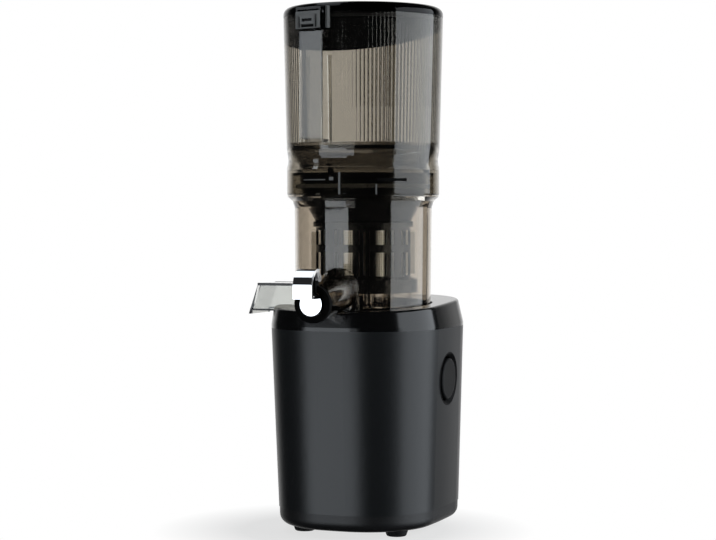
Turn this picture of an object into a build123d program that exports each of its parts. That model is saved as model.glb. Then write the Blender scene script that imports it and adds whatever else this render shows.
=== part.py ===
"""Cold press juicer: a motor base that carries a juicing bowl, and a large hopper with a hinged lid.

Everything is drawn about the drive axis, front towards -Y, with the table at z = 0. When a piece is
written it moves so that the origin lies under the middle of the whole juicer's box.
"""
from build123d import *
from math import cos, sin, radians
import os

# ---- driving dimensions, millimetres ----
# base
BASE_HALF_WIDTH = 87
BASE_FRONT = 92
BASE_BACK = 122
BASE_CORNER_R = 76.5
BASE_BOW = 2.5  # degrees that each side of the outline turns between its middle and its corner
BASE_BOTTOM = 24
BASE_SEAM = 202
BASE_TAPER = (5.9, 9.5, 1.8)  # how much the body is drawn in at its foot: each side, front, back
WALL = 2.6
COVER_FLOOR = 7
COVER_ROUND = 10
SHOULDER_LIP = 205.5  # the top cover's wall is upright up to here
SHOULDER_TOP = 236  # height of the lofted shoulder before the sloping top cuts it
SHOULDER_IN = (5.8, 2.4, 10)  # drawn in at that height: each side, front, back
TOP_FRONT = 220.6  # height of the sloping top over the front edge
TOP_SLOPE = 2.9  # degrees, rising to the back
SEAT_R = 69.2
SEAT_Z = 219
FOOT_R = 12
FOOT_TIP_R = 9.5
FOOT_X = 48.5
FOOT_FRONT = -35.5
FOOT_BACK = 86

# switch, on the right wall
SWITCH_Z = 151.3
SWITCH_R = 26.6
ROCKER_R = 20.4

# drive
SHAFT_R = 6
HEX_AF = 12
HEX_FROM = 234
HEX_TO = 276

# bowl
BOWL_R = 67.5
BOWL_TOP_R = 68.5
BOWL_BOTTOM = 220.5
BOWL_FLOOR = 223.5
BOWL_WALL = 2.6
BOWL_NECK = 321.5
BOWL_RIM = 333
RIM_R = 75.4
HUB_R = 12.4
NECK_R = 10

# spout, towards the front
SPOUT_START = 60
SPOUT_START_Z = 243.4
SPOUT_START_R = 21.2
SPOUT_END = 128
SPOUT_END_Z = 230
SPOUT_END_R = 17.5
SPOUT_WALL = 2.6
RING_END = 134
CAP_FRONT = 158
CAP_HALF_WIDTH = 9.4
CAP_PIN_Y = 134.5
CAP_PIN_Z = 255

# pulp chute, towards the left
CHUTE_HALF = 23
CHUTE_TOP = 245
CHUTE_LOW = 217.6
CHUTE_LIP = 214  # the outer wall ends in a lip that hangs down to here
CHUTE_END_TOP = 104.6
CHUTE_END_LOW = 115
CHUTE_EXIT = 86
CHUTE_WALL = 2.4

# gear train under the strainer
MODULE = 1.5
SUN_TEETH = 24
IDLER_TEETH = 21
RING_TEETH = 66
GEAR_LOW = 236.8
GEAR_HIGH = 241.8
IDLER_ANGLES = (60, -60)

# juicing set
STRAINER_R = 43
SCREEN_R = 41.2
STRAINER_LOW = 242.5
STRAINER_TOP = 306
WIPER_R = 47.2
AUGER_R = 40.2

# hopper; its guide rib and latch sit a little to the left of the front, its hinge at the back
RIB_TURN = -16
COLLAR_TOP = 358
COLLAR_R = 76
DRUM_FOOT_R = 76.2
DRUM_R = 79.6
DRUM_TOP = 509
DRUM_WALL = 2.5
WAIST_R = 74.7
LID_TOP = 519
LID_ROUND = 7
RIB_FACE = 84.6
RIB_HALF = 14.4
RIB_LOW = 384
RIB_HIGH = 491.5
RAIL_IN = 69.5  # the rib's two walls run on inside the drum to this distance
RAIL_TOP = 468
SKIRT_LOW = 472  # height of the skirt's lower edge at the front
SKIRT_TILT = 15  # degrees that this edge rises towards the back
COLUMN_HALF = 17.6
COLUMN_HEAD_HALF = 21.7
COLUMN_FACE = 88
COLUMN_LOW = 384
COLUMN_STEP = 426
COLUMN_TOP = 497
LATCH_FACE = 89
LATCH_HALF = 15.2
LATCH_LOW = 492.5
LATCH_HIGH = 514
LATCH_PIN_Y = 84.6
LATCH_PIN_Z = 509
LATCH_ROOF = 511.4
HINGE_Y = 86
HINGE_Z = 507

# ---- derived ----
BASE_MID_Y = (BASE_BACK - BASE_FRONT) / 2
TO_FRAME = Location(((CHUTE_END_LOW - BASE_HALF_WIDTH) / 2, (CAP_FRONT - BASE_BACK) / 2, 0))
TOP_PLANE = Plane(
    origin=(0, -BASE_FRONT, TOP_FRONT),
    x_dir=(1, 0, 0),
    z_dir=(0, -sin(radians(TOP_SLOPE)), cos(radians(TOP_SLOPE))),
)
WALL_LEAN = BASE_TAPER[0] / (BASE_SEAM - BASE_BOTTOM)
SWITCH_PLANE = Plane(
    origin=(BASE_HALF_WIDTH - WALL_LEAN * (BASE_SEAM - SWITCH_Z), BASE_MID_Y, SWITCH_Z),
    x_dir=(0, 1, 0),
    z_dir=(1, 0, -WALL_LEAN),
)
UP = (Align.CENTER, Align.CENTER, Align.MIN)
DOWN = (Align.CENTER, Align.CENTER, Align.MAX)
OUT = (Align.CENTER, Align.MAX, Align.MIN)
BACK = (Align.CENTER, Align.MIN, Align.MIN)

os.makedirs("parts", exist_ok=True)


def write(piece, name, turn=0):
    """Label a finished piece, bring it into the juicer's frame and write it."""
    placed = piece.part.moved(TO_FRAME * Location((0, 0, 0), (0, 0, turn)))
    placed.label = name
    export_step(placed, f"parts/{name}.step")


def half_section(*points):
    """A closed section given as radius and height, to be turned about the drive axis."""
    with BuildSketch(Plane.XZ) as half:
        with BuildLine():
            Polyline(*points, close=True)
        make_face()
    return half.sketch


def plane_across(turn, shift):
    """Vertical plane through the drive axis, turned about it and shifted sideways; X runs to the back."""
    angle = radians(turn)
    middle = Plane(origin=(0, 0, 0), x_dir=(-sin(angle), cos(angle), 0), z_dir=(cos(angle), sin(angle), 0))
    return middle.offset(shift)


def base_outline(height, inset=(0, 0, 0), wall=0):
    """Outline of the base at a height: four shallow bows joined by corner arcs, drawn in as asked."""
    side_in, front_in, back_in = (amount + wall for amount in inset)
    bow = radians(BASE_BOW)
    corner = BASE_CORNER_R - (2 * side_in + front_in + back_in) / 4
    across = BASE_HALF_WIDTH - side_in - corner * (cos(bow) - sin(bow))
    along = (BASE_FRONT + BASE_BACK - front_in - back_in) / 2 - corner * (cos(bow) - sin(bow))
    rise, drop = sin(bow), 1 - cos(bow)
    front_r = (across * rise - along * drop) / (rise**2 - drop**2)
    side_r = (along * rise - across * drop) / (rise**2 - drop**2)
    turn = 90 - 2 * BASE_BOW
    with BuildSketch(Plane.XY.offset(height)) as outline:
        with BuildLine():
            front = JernArc((0, front_in - BASE_FRONT), (1, 0), front_r, BASE_BOW)
            near = JernArc(front @ 1, front % 1, corner, turn)
            side = JernArc(near @ 1, near % 1, side_r, 2 * BASE_BOW)
            far = JernArc(side @ 1, side % 1, corner, turn)
            JernArc(far @ 1, far % 1, front_r, BASE_BOW)
            mirror(about=Plane.YZ)
        make_face()
    return outline.sketch


def spout_cone(thin):
    """The juice spout as a tapered tube that falls towards the front."""
    start = Plane(origin=(0, -SPOUT_START, SPOUT_START_Z), x_dir=(1, 0, 0), z_dir=(0, -1, 0))
    end = Plane(origin=(0, -SPOUT_END, SPOUT_END_Z), x_dir=(1, 0, 0), z_dir=(0, -1, 0))
    with BuildSketch(start) as wide:
        Circle(SPOUT_START_R - thin)
    with BuildSketch(end) as narrow:
        Circle(SPOUT_END_R - thin)
    with BuildPart() as cone:
        loft([wide.sketch, narrow.sketch])
    return cone.part


SPOUT_OUTSIDE = spout_cone(0)
SPOUT_BORE = spout_cone(SPOUT_WALL)
SPOUT_CRADLE = spout_cone(-1.2)

# ---- base: housing ----
BOSS_PLACES = [(66, BASE_MID_Y), (-66, BASE_MID_Y), (0, -67), (0, 105)]
BOSS_R = 6
BOSS_HIGH = 18
WEB_PLACES = [(73, BASE_MID_Y, 0), (-73, BASE_MID_Y, 0), (0, -74, 90), (0, 112, 90)]
WEB_LONG = 13
WEB_THICK = 3
GLAND_Z = 58
GLAND_FACE = 120.8  # the gland's collar lies on the back wall from here to the very back
GLAND_R = 9
GLAND_PLACE = Plane(origin=(0, GLAND_FACE, GLAND_Z), x_dir=(1, 0, 0), z_dir=(0, 1, 0))
CORD_R = 3.6
SCREW_R = 1.85
SCREW_HOLE_R = 1.9

with BuildPart() as base_body:
    loft([base_outline(BASE_BOTTOM, BASE_TAPER), base_outline(BASE_SEAM)])
    loft(
        [base_outline(BASE_BOTTOM, BASE_TAPER, WALL), base_outline(BASE_SEAM, wall=WALL)],
        mode=Mode.SUBTRACT,
    )
    with BuildSketch(Plane.XY.offset(BASE_BOTTOM)):
        with Locations(*BOSS_PLACES):
            Circle(BOSS_R)
        with Locations(*[Location((x, y), turn) for x, y, turn in WEB_PLACES]):
            Rectangle(WEB_LONG, WEB_THICK)
    extrude(amount=BOSS_HIGH)
    with BuildSketch(Plane.XY.offset(BASE_BOTTOM)):
        with Locations(*BOSS_PLACES):
            Circle(SCREW_HOLE_R)
    extrude(amount=BOSS_HIGH - 3, mode=Mode.SUBTRACT)
    with BuildSketch(SWITCH_PLANE.offset(-8)):
        Circle(SWITCH_R)
    extrude(amount=16, mode=Mode.SUBTRACT)
    with BuildSketch(GLAND_PLACE.offset(-8)):
        Circle(GLAND_R)
    extrude(amount=20, mode=Mode.SUBTRACT)
write(base_body, "base_body")

POST_PLACES = [(40, 40), (-40, 40), (-40, -40), (40, -40)]
COVER_CEILING = 215
COVER_CEILING_IN = (1.8, 0.8, 3.2)
SEAL_BOSS_R = 9.5

with BuildPart() as base_top_cover:
    loft([base_outline(BASE_SEAM), base_outline(SHOULDER_LIP)])
    loft([base_outline(SHOULDER_LIP), base_outline(SHOULDER_TOP, SHOULDER_IN)])
    split(bisect_by=TOP_PLANE, keep=Keep.BOTTOM)
    top_face = faces().sort_by(Axis.Z)[-1]
    fillet(top_face.edges(), 3)
    loft(
        [base_outline(BASE_SEAM, wall=WALL), base_outline(COVER_CEILING, COVER_CEILING_IN, WALL)],
        mode=Mode.SUBTRACT,
    )
    add(SPOUT_CRADLE, mode=Mode.SUBTRACT)
    with Locations((0, 0, SEAT_Z)):
        Cylinder(SEAT_R, 20, align=UP, mode=Mode.SUBTRACT)
    with Locations((-CHUTE_EXIT / 2, 0, SEAT_Z - 0.8)):
        Box(CHUTE_EXIT, 2 * CHUTE_HALF + 4, 20, align=UP, mode=Mode.SUBTRACT)
    with Locations((0, 0, 213)):
        Cylinder(SEAL_BOSS_R, 18, align=UP)
    with Locations(*[(x, y, 190) for x, y in POST_PLACES]):
        Cylinder(6.5, 26, align=UP)
    with Locations(*[(x, y, 190) for x, y in POST_PLACES]):
        Cylinder(SCREW_HOLE_R, 16, align=UP, mode=Mode.SUBTRACT)
    with Locations((0, 0, 200)):
        Cylinder(SHAFT_R + 0.3, 40, align=UP, mode=Mode.SUBTRACT)
write(base_top_cover, "base_top_cover")

BOARD_Y = 84
BOARD_RAIL_X = 24
FOOT_PLACES = [(x, y) for x in (FOOT_X, -FOOT_X) for y in (FOOT_FRONT, FOOT_BACK)]
FOOT_PEG_R = 3.9

with BuildPart() as base_bottom_cover:
    loft([base_outline(COVER_FLOOR, BASE_TAPER, 1.2), base_outline(BASE_BOTTOM, BASE_TAPER, 0.6)])
    fillet(faces().sort_by(Axis.Z)[0].edges(), COVER_ROUND)
    loft(
        [base_outline(COVER_FLOOR + 3, BASE_TAPER, 12), base_outline(BASE_BOTTOM, BASE_TAPER, 3)],
        mode=Mode.SUBTRACT,
    )
    with BuildSketch(Plane.XY.offset(COVER_FLOOR + 2)):
        with Locations(*BOSS_PLACES):
            Circle(BOSS_R)
    extrude(amount=BASE_BOTTOM - COVER_FLOOR - 2)
    with BuildSketch(Plane.XY.offset(COVER_FLOOR - 1)):
        with Locations(*BOSS_PLACES):
            Circle(3.7)
    extrude(amount=9.5, mode=Mode.SUBTRACT)
    with BuildSketch(Plane.XY.offset(COVER_FLOOR - 1)):
        with Locations(*BOSS_PLACES):
            Circle(2.1)
    extrude(amount=20, mode=Mode.SUBTRACT)
    with Locations((BOARD_RAIL_X, BOARD_Y, COVER_FLOOR + 2), (-BOARD_RAIL_X, BOARD_Y, COVER_FLOOR + 2)):
        Box(8, 8, 16, align=UP)
    with Locations((0, BOARD_Y, COVER_FLOOR + 6)):
        Box(60, 1.8, 20, align=UP, mode=Mode.SUBTRACT)
    with BuildSketch(Plane.XY.offset(COVER_FLOOR)):
        with Locations(*FOOT_PLACES):
            Circle(FOOT_PEG_R + 0.1)
    extrude(amount=6, mode=Mode.SUBTRACT)
    with BuildSketch(Plane.XY.offset(COVER_FLOOR)):
        with Locations((0, -20), (0, 46)):
            with GridLocations(8, 40, 7, 1):
                SlotOverall(30, 3, rotation=90)
    extrude(amount=6, mode=Mode.SUBTRACT)
write(base_bottom_cover, "base_bottom_cover")

with BuildPart() as rubber_feet:
    with Locations(*FOOT_PLACES):
        Cone(FOOT_TIP_R, FOOT_R, COVER_FLOOR, align=UP)
        Cylinder(FOOT_PEG_R, COVER_FLOOR + 3, align=UP)
    fillet(edges().filter_by(GeomType.CIRCLE).group_by(Axis.Z)[0], 2)
write(rubber_feet, "rubber_feet")

HEAD_SEAT = 15.5

with BuildPart() as housing_screws:
    with BuildSketch(Plane.XY.offset(HEAD_SEAT)):
        with Locations(*BOSS_PLACES):
            Circle(3.4)
    extrude(amount=-3.5)
    with BuildSketch(Plane.XY.offset(HEAD_SEAT)):
        with Locations(*BOSS_PLACES):
            Circle(SCREW_R)
    extrude(amount=20)
write(housing_screws, "housing_screws")

with BuildPart() as cord_gland:
    with BuildSketch(GLAND_PLACE.offset(-10)):
        Circle(GLAND_R - 0.1)
    extrude(amount=10)
    with BuildSketch(GLAND_PLACE):
        Circle(GLAND_R + 2)
    extrude(amount=BASE_BACK - GLAND_FACE)
    with BuildSketch(GLAND_PLACE.offset(-10)):
        Circle(CORD_R)
    extrude(amount=20, mode=Mode.SUBTRACT)
write(cord_gland, "cord_gland")

# ---- base: drive ----
CASE_R = 46
CASE_LOW = 122
FLANGE_Z = 183

with BuildPart() as motor:
    revolve(
        half_section(
            (0, 34), (14, 34), (16, 38), (40, 40), (43, 44), (43, 114), (40, 118), (CASE_R - 4, CASE_LOW),
            (0, CASE_LOW),
        ),
        axis=Axis.Z,
    )
    with BuildSketch(Plane.XY.offset(52)):
        with PolarLocations(43.5, 12):
            Rectangle(3, 5)
    extrude(amount=56)
write(motor, "motor")

with BuildPart() as gear_case:
    with Locations((0, 0, CASE_LOW)):
        Cylinder(CASE_R, FLANGE_Z - CASE_LOW, align=UP)
    with BuildSketch(Plane.XY.offset(FLANGE_Z)):
        RectangleRounded(96, 96, 10)
        with Locations(*POST_PLACES):
            Circle(2.4, mode=Mode.SUBTRACT)
    extrude(amount=4)
    with Locations((0, 0, FLANGE_Z)):
        Cylinder(19, 22, align=UP)
    with PolarLocations(CASE_R, 8):
        with Locations((0, 0, CASE_LOW + 6)):
            Box(5, 5, FLANGE_Z - CASE_LOW - 6, align=UP)
    with Locations((0, 0, 193)):
        Cylinder(13, 20, align=UP, mode=Mode.SUBTRACT)
    with Locations((0, 0, 165)):
        Cylinder(SHAFT_R + 0.3, 60, align=UP, mode=Mode.SUBTRACT)
write(gear_case, "gear_case")

with BuildPart() as shaft_bearing:
    with Locations((0, 0, 193)):
        Cylinder(13, 10, align=UP)
        Cylinder(SHAFT_R + 0.05, 10, align=UP, mode=Mode.SUBTRACT)
write(shaft_bearing, "shaft_bearing")

with BuildPart() as shaft_seal:
    with Locations((0, 0, 231)):
        Cylinder(9, 2.4, align=UP)
        Cylinder(SHAFT_R + 0.05, 2.4, align=UP, mode=Mode.SUBTRACT)
write(shaft_seal, "shaft_seal")

with BuildPart() as motor_dampers:
    with Locations(*[(x, y, FLANGE_Z + 4) for x, y in POST_PLACES]):
        Cylinder(7, 3, align=UP)
        Cylinder(2.4, 3, align=UP, mode=Mode.SUBTRACT)
write(motor_dampers, "motor_dampers")

with BuildPart() as motor_screws:
    with Locations(*[(x, y, FLANGE_Z) for x, y in POST_PLACES]):
        Cylinder(4, 3, align=DOWN)
        Cylinder(SCREW_R, 20, align=UP)
write(motor_screws, "motor_screws")

with BuildPart() as drive_shaft:
    with Locations((0, 0, 167)):
        Cylinder(SHAFT_R, HEX_FROM - 167, align=UP)
    with BuildSketch(Plane.XY.offset(HEX_FROM)):
        RegularPolygon(HEX_AF / 2, 6, major_radius=False)
    extrude(amount=HEX_TO - HEX_FROM)
    chamfer(faces().sort_by(Axis.Z)[-1].edges(), 1)
write(drive_shaft, "drive_shaft")

with BuildPart() as control_board:
    with Locations((0, BOARD_Y, COVER_FLOOR + 6)):
        Box(54, 1.6, 84, align=UP)
    with Locations((-12, BOARD_Y - 0.8, 60), (12, BOARD_Y - 0.8, 60)):
        Cylinder(6, 14, rotation=(90, 0, 0), align=UP)
    with Locations((0, BOARD_Y - 0.8, 34)):
        Box(26, 14, 12, align=OUT)
    with Locations((0, BOARD_Y - 0.8, 78)):
        Box(40, 8, 14, align=OUT)
write(control_board, "control_board")

# ---- base: switch ----
PIVOT_DEPTH = 9
PIVOT_PLANE = Plane(origin=SWITCH_PLANE.origin, x_dir=SWITCH_PLANE.z_dir, z_dir=(0, 1, 0))
WELL_R = ROCKER_R + 1.8
ROCKER_BACK = -6.8  # the rocker's disc lies between these two heights over the wall
ROCKER_FACE = 0.6

with BuildPart() as switch_bezel:
    with BuildSketch(SWITCH_PLANE.offset(-14)):
        Circle(SWITCH_R - 0.1)
    extrude(amount=14)
    with BuildSketch(SWITCH_PLANE.offset(-12)):
        Circle(WELL_R)
    extrude(amount=14, mode=Mode.SUBTRACT)
    well_mouth = edges().filter_by(GeomType.CIRCLE).filter_by(lambda e: abs(e.radius - WELL_R) < 0.01)
    chamfer(well_mouth.sort_by(Axis.X)[-1], 3.4)
    with BuildSketch(SWITCH_PLANE.offset(-15)):
        Circle(5)
    extrude(amount=6, mode=Mode.SUBTRACT)
    with BuildSketch(PIVOT_PLANE.offset(-30)):
        with Locations((-PIVOT_DEPTH, 0)):
            Circle(1.5)
    extrude(amount=60, mode=Mode.SUBTRACT)
write(switch_bezel, "switch_bezel")

with BuildPart() as switch_rocker:
    with BuildSketch(SWITCH_PLANE.offset(ROCKER_BACK)):
        Circle(ROCKER_R)
    extrude(amount=ROCKER_FACE - ROCKER_BACK)
    fillet(edges().filter_by(GeomType.CIRCLE).sort_by(Axis.X)[-1], 2)
    with BuildSketch(PIVOT_PLANE.offset(-14)):
        with Locations((-PIVOT_DEPTH, 0)):
            Circle(3)
    extrude(amount=28)
    with BuildSketch(PIVOT_PLANE.offset(-30)):
        with Locations((-PIVOT_DEPTH, 0)):
            Circle(1.55)
    extrude(amount=60, mode=Mode.SUBTRACT)
write(switch_rocker, "switch_rocker")

with BuildPart() as switch_pin:
    with BuildSketch(PIVOT_PLANE.offset(-25)):
        with Locations((-PIVOT_DEPTH, 0)):
            Circle(1.5)
    extrude(amount=50)
write(switch_pin, "switch_pin")

with BuildPart() as switch_block:
    with BuildSketch(SWITCH_PLANE.offset(-28)):
        Rectangle(26, 20)
    extrude(amount=14)
write(switch_block, "switch_block")

# ---- bowl ----
DUCT_HALF = 17
DUCT_START = 22
PORT_NEAR = 23.5
PORT_FAR = 42
PORT_HALF = 9
DUCT_ROOF = 236
DUCT_HIGH = 10
DUCT_WALL = 2.4
IDLER_R = MODULE * (SUN_TEETH + IDLER_TEETH) / 2
IDLER_PLACES = [(IDLER_R * cos(radians(a)), IDLER_R * sin(radians(a))) for a in IDLER_ANGLES]
PIN_LOW = 226
RIM_INNER_R = 67.4


def chute_wall(thin):
    """Side outline of the chute; the inside is a wall thickness smaller and runs out through the mouth."""
    with BuildSketch(Plane.XZ) as side:
        with BuildLine():
            roof = Polyline(
                (-BOWL_R + 4, BOWL_BOTTOM + thin),
                (-BOWL_R + 4, CHUTE_TOP - thin),
                (-CHUTE_END_TOP + thin, CHUTE_TOP - thin),
                (-CHUTE_END_LOW + thin, CHUTE_LIP),
            )
            if thin:
                mouth = Polyline(roof @ 1, (-CHUTE_EXIT, CHUTE_LIP), (-CHUTE_EXIT, BOWL_BOTTOM + thin))
            else:
                mouth = Polyline(
                    roof @ 1, (-CHUTE_END_LOW + 3.2, CHUTE_LIP), (-CHUTE_END_LOW + 3.6, CHUTE_LOW),
                    (-CHUTE_EXIT, CHUTE_LOW), (-CHUTE_EXIT, BOWL_BOTTOM),
                )
            Line(mouth @ 1, roof @ 0)
        make_face()
    return side.sketch


with BuildPart() as bowl_form:
    with BuildSketch(Plane.XZ):
        with BuildLine():
            Polyline(
                (0, BOWL_BOTTOM - 20), (BOWL_R, BOWL_BOTTOM - 20), (BOWL_R, BOWL_BOTTOM),
                (BOWL_TOP_R, BOWL_NECK), (0, BOWL_NECK), close=True,
            )
        make_face()
    revolve(axis=Axis.Z)

# The bowl's wall stands on its floor, and its spout and chute are joined to its outside.
with BuildPart() as juicing_bowl:
    revolve(
        half_section(
            (BOWL_R, BOWL_FLOOR), (BOWL_TOP_R, BOWL_NECK), (70.6, 327.5), (RIM_R, BOWL_RIM - 1.2),
            (RIM_R, BOWL_RIM), (RIM_INNER_R, BOWL_RIM), (RIM_INNER_R, BOWL_RIM - 4),
            (BOWL_TOP_R - BOWL_WALL, BOWL_NECK - 1), (BOWL_R - BOWL_WALL, BOWL_FLOOR),
        ),
        axis=Axis.Z,
    )
    add(SPOUT_BORE, mode=Mode.SUBTRACT)
    with Locations((-BOWL_R, 0, BOWL_FLOOR)):
        Box(20, 2 * DUCT_HALF, DUCT_HIGH, align=UP, mode=Mode.SUBTRACT)
write(juicing_bowl, "juicing_bowl")

with BuildPart() as bowl_floor:
    with Locations((0, 0, BOWL_BOTTOM)):
        Cylinder(BOWL_R, BOWL_FLOOR - BOWL_BOTTOM, align=UP)
        Cylinder(HUB_R, 20, align=UP)
        Cylinder(NECK_R, 41.5, align=UP)
    with Locations(*[(x, y, BOWL_FLOOR) for x, y in IDLER_PLACES]):
        Cylinder(5, GEAR_LOW - 0.3 - BOWL_FLOOR, align=UP)
    with PolarLocations(51.5, 4, start_angle=45):
        with Locations((0, 0, BOWL_FLOOR)):
            Cylinder(2.6, GEAR_LOW - 0.3 - BOWL_FLOOR, align=UP)
    with Locations((0, 0, BOWL_BOTTOM - 1)):
        Cylinder(10.2, 18.5, align=UP, mode=Mode.SUBTRACT)
        Cylinder(7.3, 60, align=UP, mode=Mode.SUBTRACT)
    with Locations(*[(x, y, PIN_LOW) for x, y in IDLER_PLACES]):
        Cylinder(3, 20, align=UP, mode=Mode.SUBTRACT)
write(bowl_floor, "bowl_floor")

with BuildPart() as juice_spout:
    add(SPOUT_OUTSIDE)
    add(SPOUT_BORE, mode=Mode.SUBTRACT)
    add(bowl_form.part, mode=Mode.SUBTRACT)
write(juice_spout, "juice_spout")

with BuildPart() as pulp_chute:
    extrude(chute_wall(0), amount=CHUTE_HALF, both=True)
    extrude(chute_wall(CHUTE_WALL), amount=CHUTE_HALF - CHUTE_WALL, both=True, mode=Mode.SUBTRACT)
    add(bowl_form.part, mode=Mode.SUBTRACT)
write(pulp_chute, "pulp_chute")

# The duct carries pulp over the bowl's floor, from a port under the strainer to the chute.
PORT_MIDDLE = -(PORT_NEAR + PORT_FAR) / 2

with BuildPart() as duct_cover:
    with Locations((-(DUCT_START + BOWL_R) / 2, 0, BOWL_FLOOR)):
        Box(BOWL_R - DUCT_START, 2 * DUCT_HALF + 2 * DUCT_WALL, DUCT_ROOF - BOWL_FLOOR, align=UP)
    with Locations((PORT_MIDDLE, 0, DUCT_ROOF - 3)):
        Box(PORT_FAR - PORT_NEAR + 4, 2 * PORT_HALF + 4, STRAINER_LOW - 0.2 - DUCT_ROOF + 3, align=UP)
    with Locations((-(DUCT_START + DUCT_WALL + BOWL_R) / 2, 0, BOWL_FLOOR)):
        Box(BOWL_R - DUCT_START - DUCT_WALL, 2 * DUCT_HALF, DUCT_HIGH, align=UP, mode=Mode.SUBTRACT)
    with Locations((PORT_MIDDLE, 0, BOWL_FLOOR)):
        Box(PORT_FAR - PORT_NEAR, 2 * PORT_HALF, 30, align=UP, mode=Mode.SUBTRACT)
    with Locations((0, 0, BOWL_FLOOR)):
        Cylinder(BOWL_R - BOWL_WALL, 30, align=UP, mode=Mode.INTERSECT)
write(duct_cover, "duct_cover")

with BuildPart() as idler_pins:
    with Locations(*[(x, y, PIN_LOW) for x, y in IDLER_PLACES]):
        Cylinder(3, 16, align=UP)
write(idler_pins, "idler_pins")

with BuildPart() as bowl_seal:
    with Locations((0, 0, 262)):
        Cylinder(NECK_R, 2, align=UP)
        Cylinder(7.1, 2, align=UP, mode=Mode.SUBTRACT)
write(bowl_seal, "bowl_seal")

with BuildPart() as spout_ring:
    with BuildSketch(Plane.XZ.offset(SPOUT_END)):
        with Locations((0, SPOUT_END_Z)):
            Circle(SPOUT_END_R + 0.5)
    extrude(amount=RING_END - SPOUT_END)
    with Locations((0, -SPOUT_END - 1, SPOUT_END_Z + 10)):
        Box(10, 9, CAP_PIN_Z + 3 - SPOUT_END_Z - 10, align=OUT)
    with BuildSketch(Plane.XZ.offset(SPOUT_END - 1)):
        with Locations((0, SPOUT_END_Z)):
            Circle(11.8)
    extrude(amount=20, mode=Mode.SUBTRACT)
    with BuildSketch(Plane.YZ.offset(-20)):
        with Locations((-CAP_PIN_Y, CAP_PIN_Z)):
            Circle(1.5)
    extrude(amount=40, mode=Mode.SUBTRACT)
write(spout_ring, "spout_ring")

with BuildPart() as cap_pin:
    with BuildSketch(Plane.YZ.offset(-8.4)):
        with Locations((-CAP_PIN_Y, CAP_PIN_Z)):
            Circle(1.5)
    extrude(amount=16.8)
write(cap_pin, "cap_pin")

# The lever is a bent band: up the front, over the top and back to its two ears on the pin.
EAR_THICK = 2.8

with BuildPart() as smart_cap:
    with BuildSketch(Plane.YZ):
        with BuildLine():
            low = Polyline((-136.6, 238.5), (-136.6, 235.5), (-CAP_FRONT, 235.5), (-CAP_FRONT, 249))
            bend = ThreePointArc(low @ 1, (-152.6, 259.6), (-141, 263.5))
            back = Polyline(bend @ 1, (-137, 263.5), (-137, 260.5), (-141, 260.5))
            inner = ThreePointArc(back @ 1, (-150.4, 257.4), (-155, 249))
            Polyline(inner @ 1, (-155, 238.5), low @ 0)
        make_face()
    extrude(amount=CAP_HALF_WIDTH, both=True)
    for inner_face in (5.3, -5.3 - EAR_THICK):
        with BuildSketch(Plane.YZ.offset(inner_face)):
            with Locations((-CAP_PIN_Y, CAP_PIN_Z)):
                Circle(4)
            with BuildLine():
                Polyline(
                    (-136, 251.5), (-138.5, CAP_PIN_Z), (-141, 261), (-137, 261), (-131, 256), close=True
                )
            make_face()
        extrude(amount=EAR_THICK)
    with BuildSketch(Plane.XZ.offset(RING_END + 0.3)):
        with Locations((0, SPOUT_END_Z)):
            Circle(11)
    extrude(amount=3)
    with BuildSketch(Plane.YZ.offset(-20)):
        with Locations((-CAP_PIN_Y, CAP_PIN_Z)):
            Circle(1.55)
    extrude(amount=40, mode=Mode.SUBTRACT)
write(smart_cap, "smart_cap")

with BuildPart() as cap_plug:
    with BuildSketch(Plane.XZ.offset(RING_END - 3)):
        with Locations((0, SPOUT_END_Z)):
            Circle(10.8)
    extrude(amount=3.3)
write(cap_plug, "cap_plug")

# ---- juicing set ----
WINDOW_ROWS = [(253, 24), (284, 15)]  # height of the lower edge, and height of the window

with BuildPart() as strainer:
    revolve(
        half_section(
            (20.5, STRAINER_LOW), (44.5, STRAINER_LOW), (44.5, 250), (STRAINER_R, 252), (STRAINER_R, 302),
            (50, 302), (50, STRAINER_TOP), (SCREEN_R, STRAINER_TOP), (SCREEN_R, 246), (20.5, 246),
        ),
        axis=Axis.Z,
    )
    for low, tall in WINDOW_ROWS:
        with BuildSketch(Plane.XY.offset(low)):
            with PolarLocations(STRAINER_R, 16):
                Rectangle(6, 11)
        extrude(amount=tall, mode=Mode.SUBTRACT)
    with Locations((-(PORT_NEAR + PORT_FAR) / 2 + 1.3, 0, STRAINER_LOW)):
        Box(PORT_FAR - PORT_NEAR - 2.6, 2 * PORT_HALF, 6, mode=Mode.SUBTRACT)
write(strainer, "strainer")

with BuildPart() as strainer_screen:
    with Locations((0, 0, 247)):
        Cylinder(SCREEN_R, 58, align=UP)
        Cylinder(SCREEN_R - 0.5, 58, align=UP, mode=Mode.SUBTRACT)
write(strainer_screen, "strainer_screen")


def gear_sketch(teeth, height, start):
    """External gear with straight flanks; start is the angle of a tooth's middle."""
    pitch_r = MODULE * teeth / 2
    with BuildSketch(Plane.XY.offset(height)) as gear:
        Circle(pitch_r - 1.8)
        with PolarLocations(pitch_r, teeth, start_angle=start):
            Polygon((-2, -1.5), (1.3, -0.55), (1.3, 0.55), (-2, 1.5), align=None)
    return gear.sketch


AUGER_LOW = 246.3
AUGER_TOP = 320

with BuildPart() as auger_flights:
    with BuildLine(Plane.XY.offset(252)) as flight_path:
        Helix(pitch=42, height=47, radius=27)
    with BuildSketch(Plane(origin=flight_path.line @ 0, x_dir=(1, 0, 0), z_dir=flight_path.line % 0)):
        Rectangle(36, 4.4)
    sweep(path=flight_path.line, is_frenet=True)
    revolve(
        half_section((11, 248), (AUGER_R, 248), (AUGER_R, 304), (11, 304)),
        axis=Axis.Z,
        mode=Mode.INTERSECT,
    )

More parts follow.
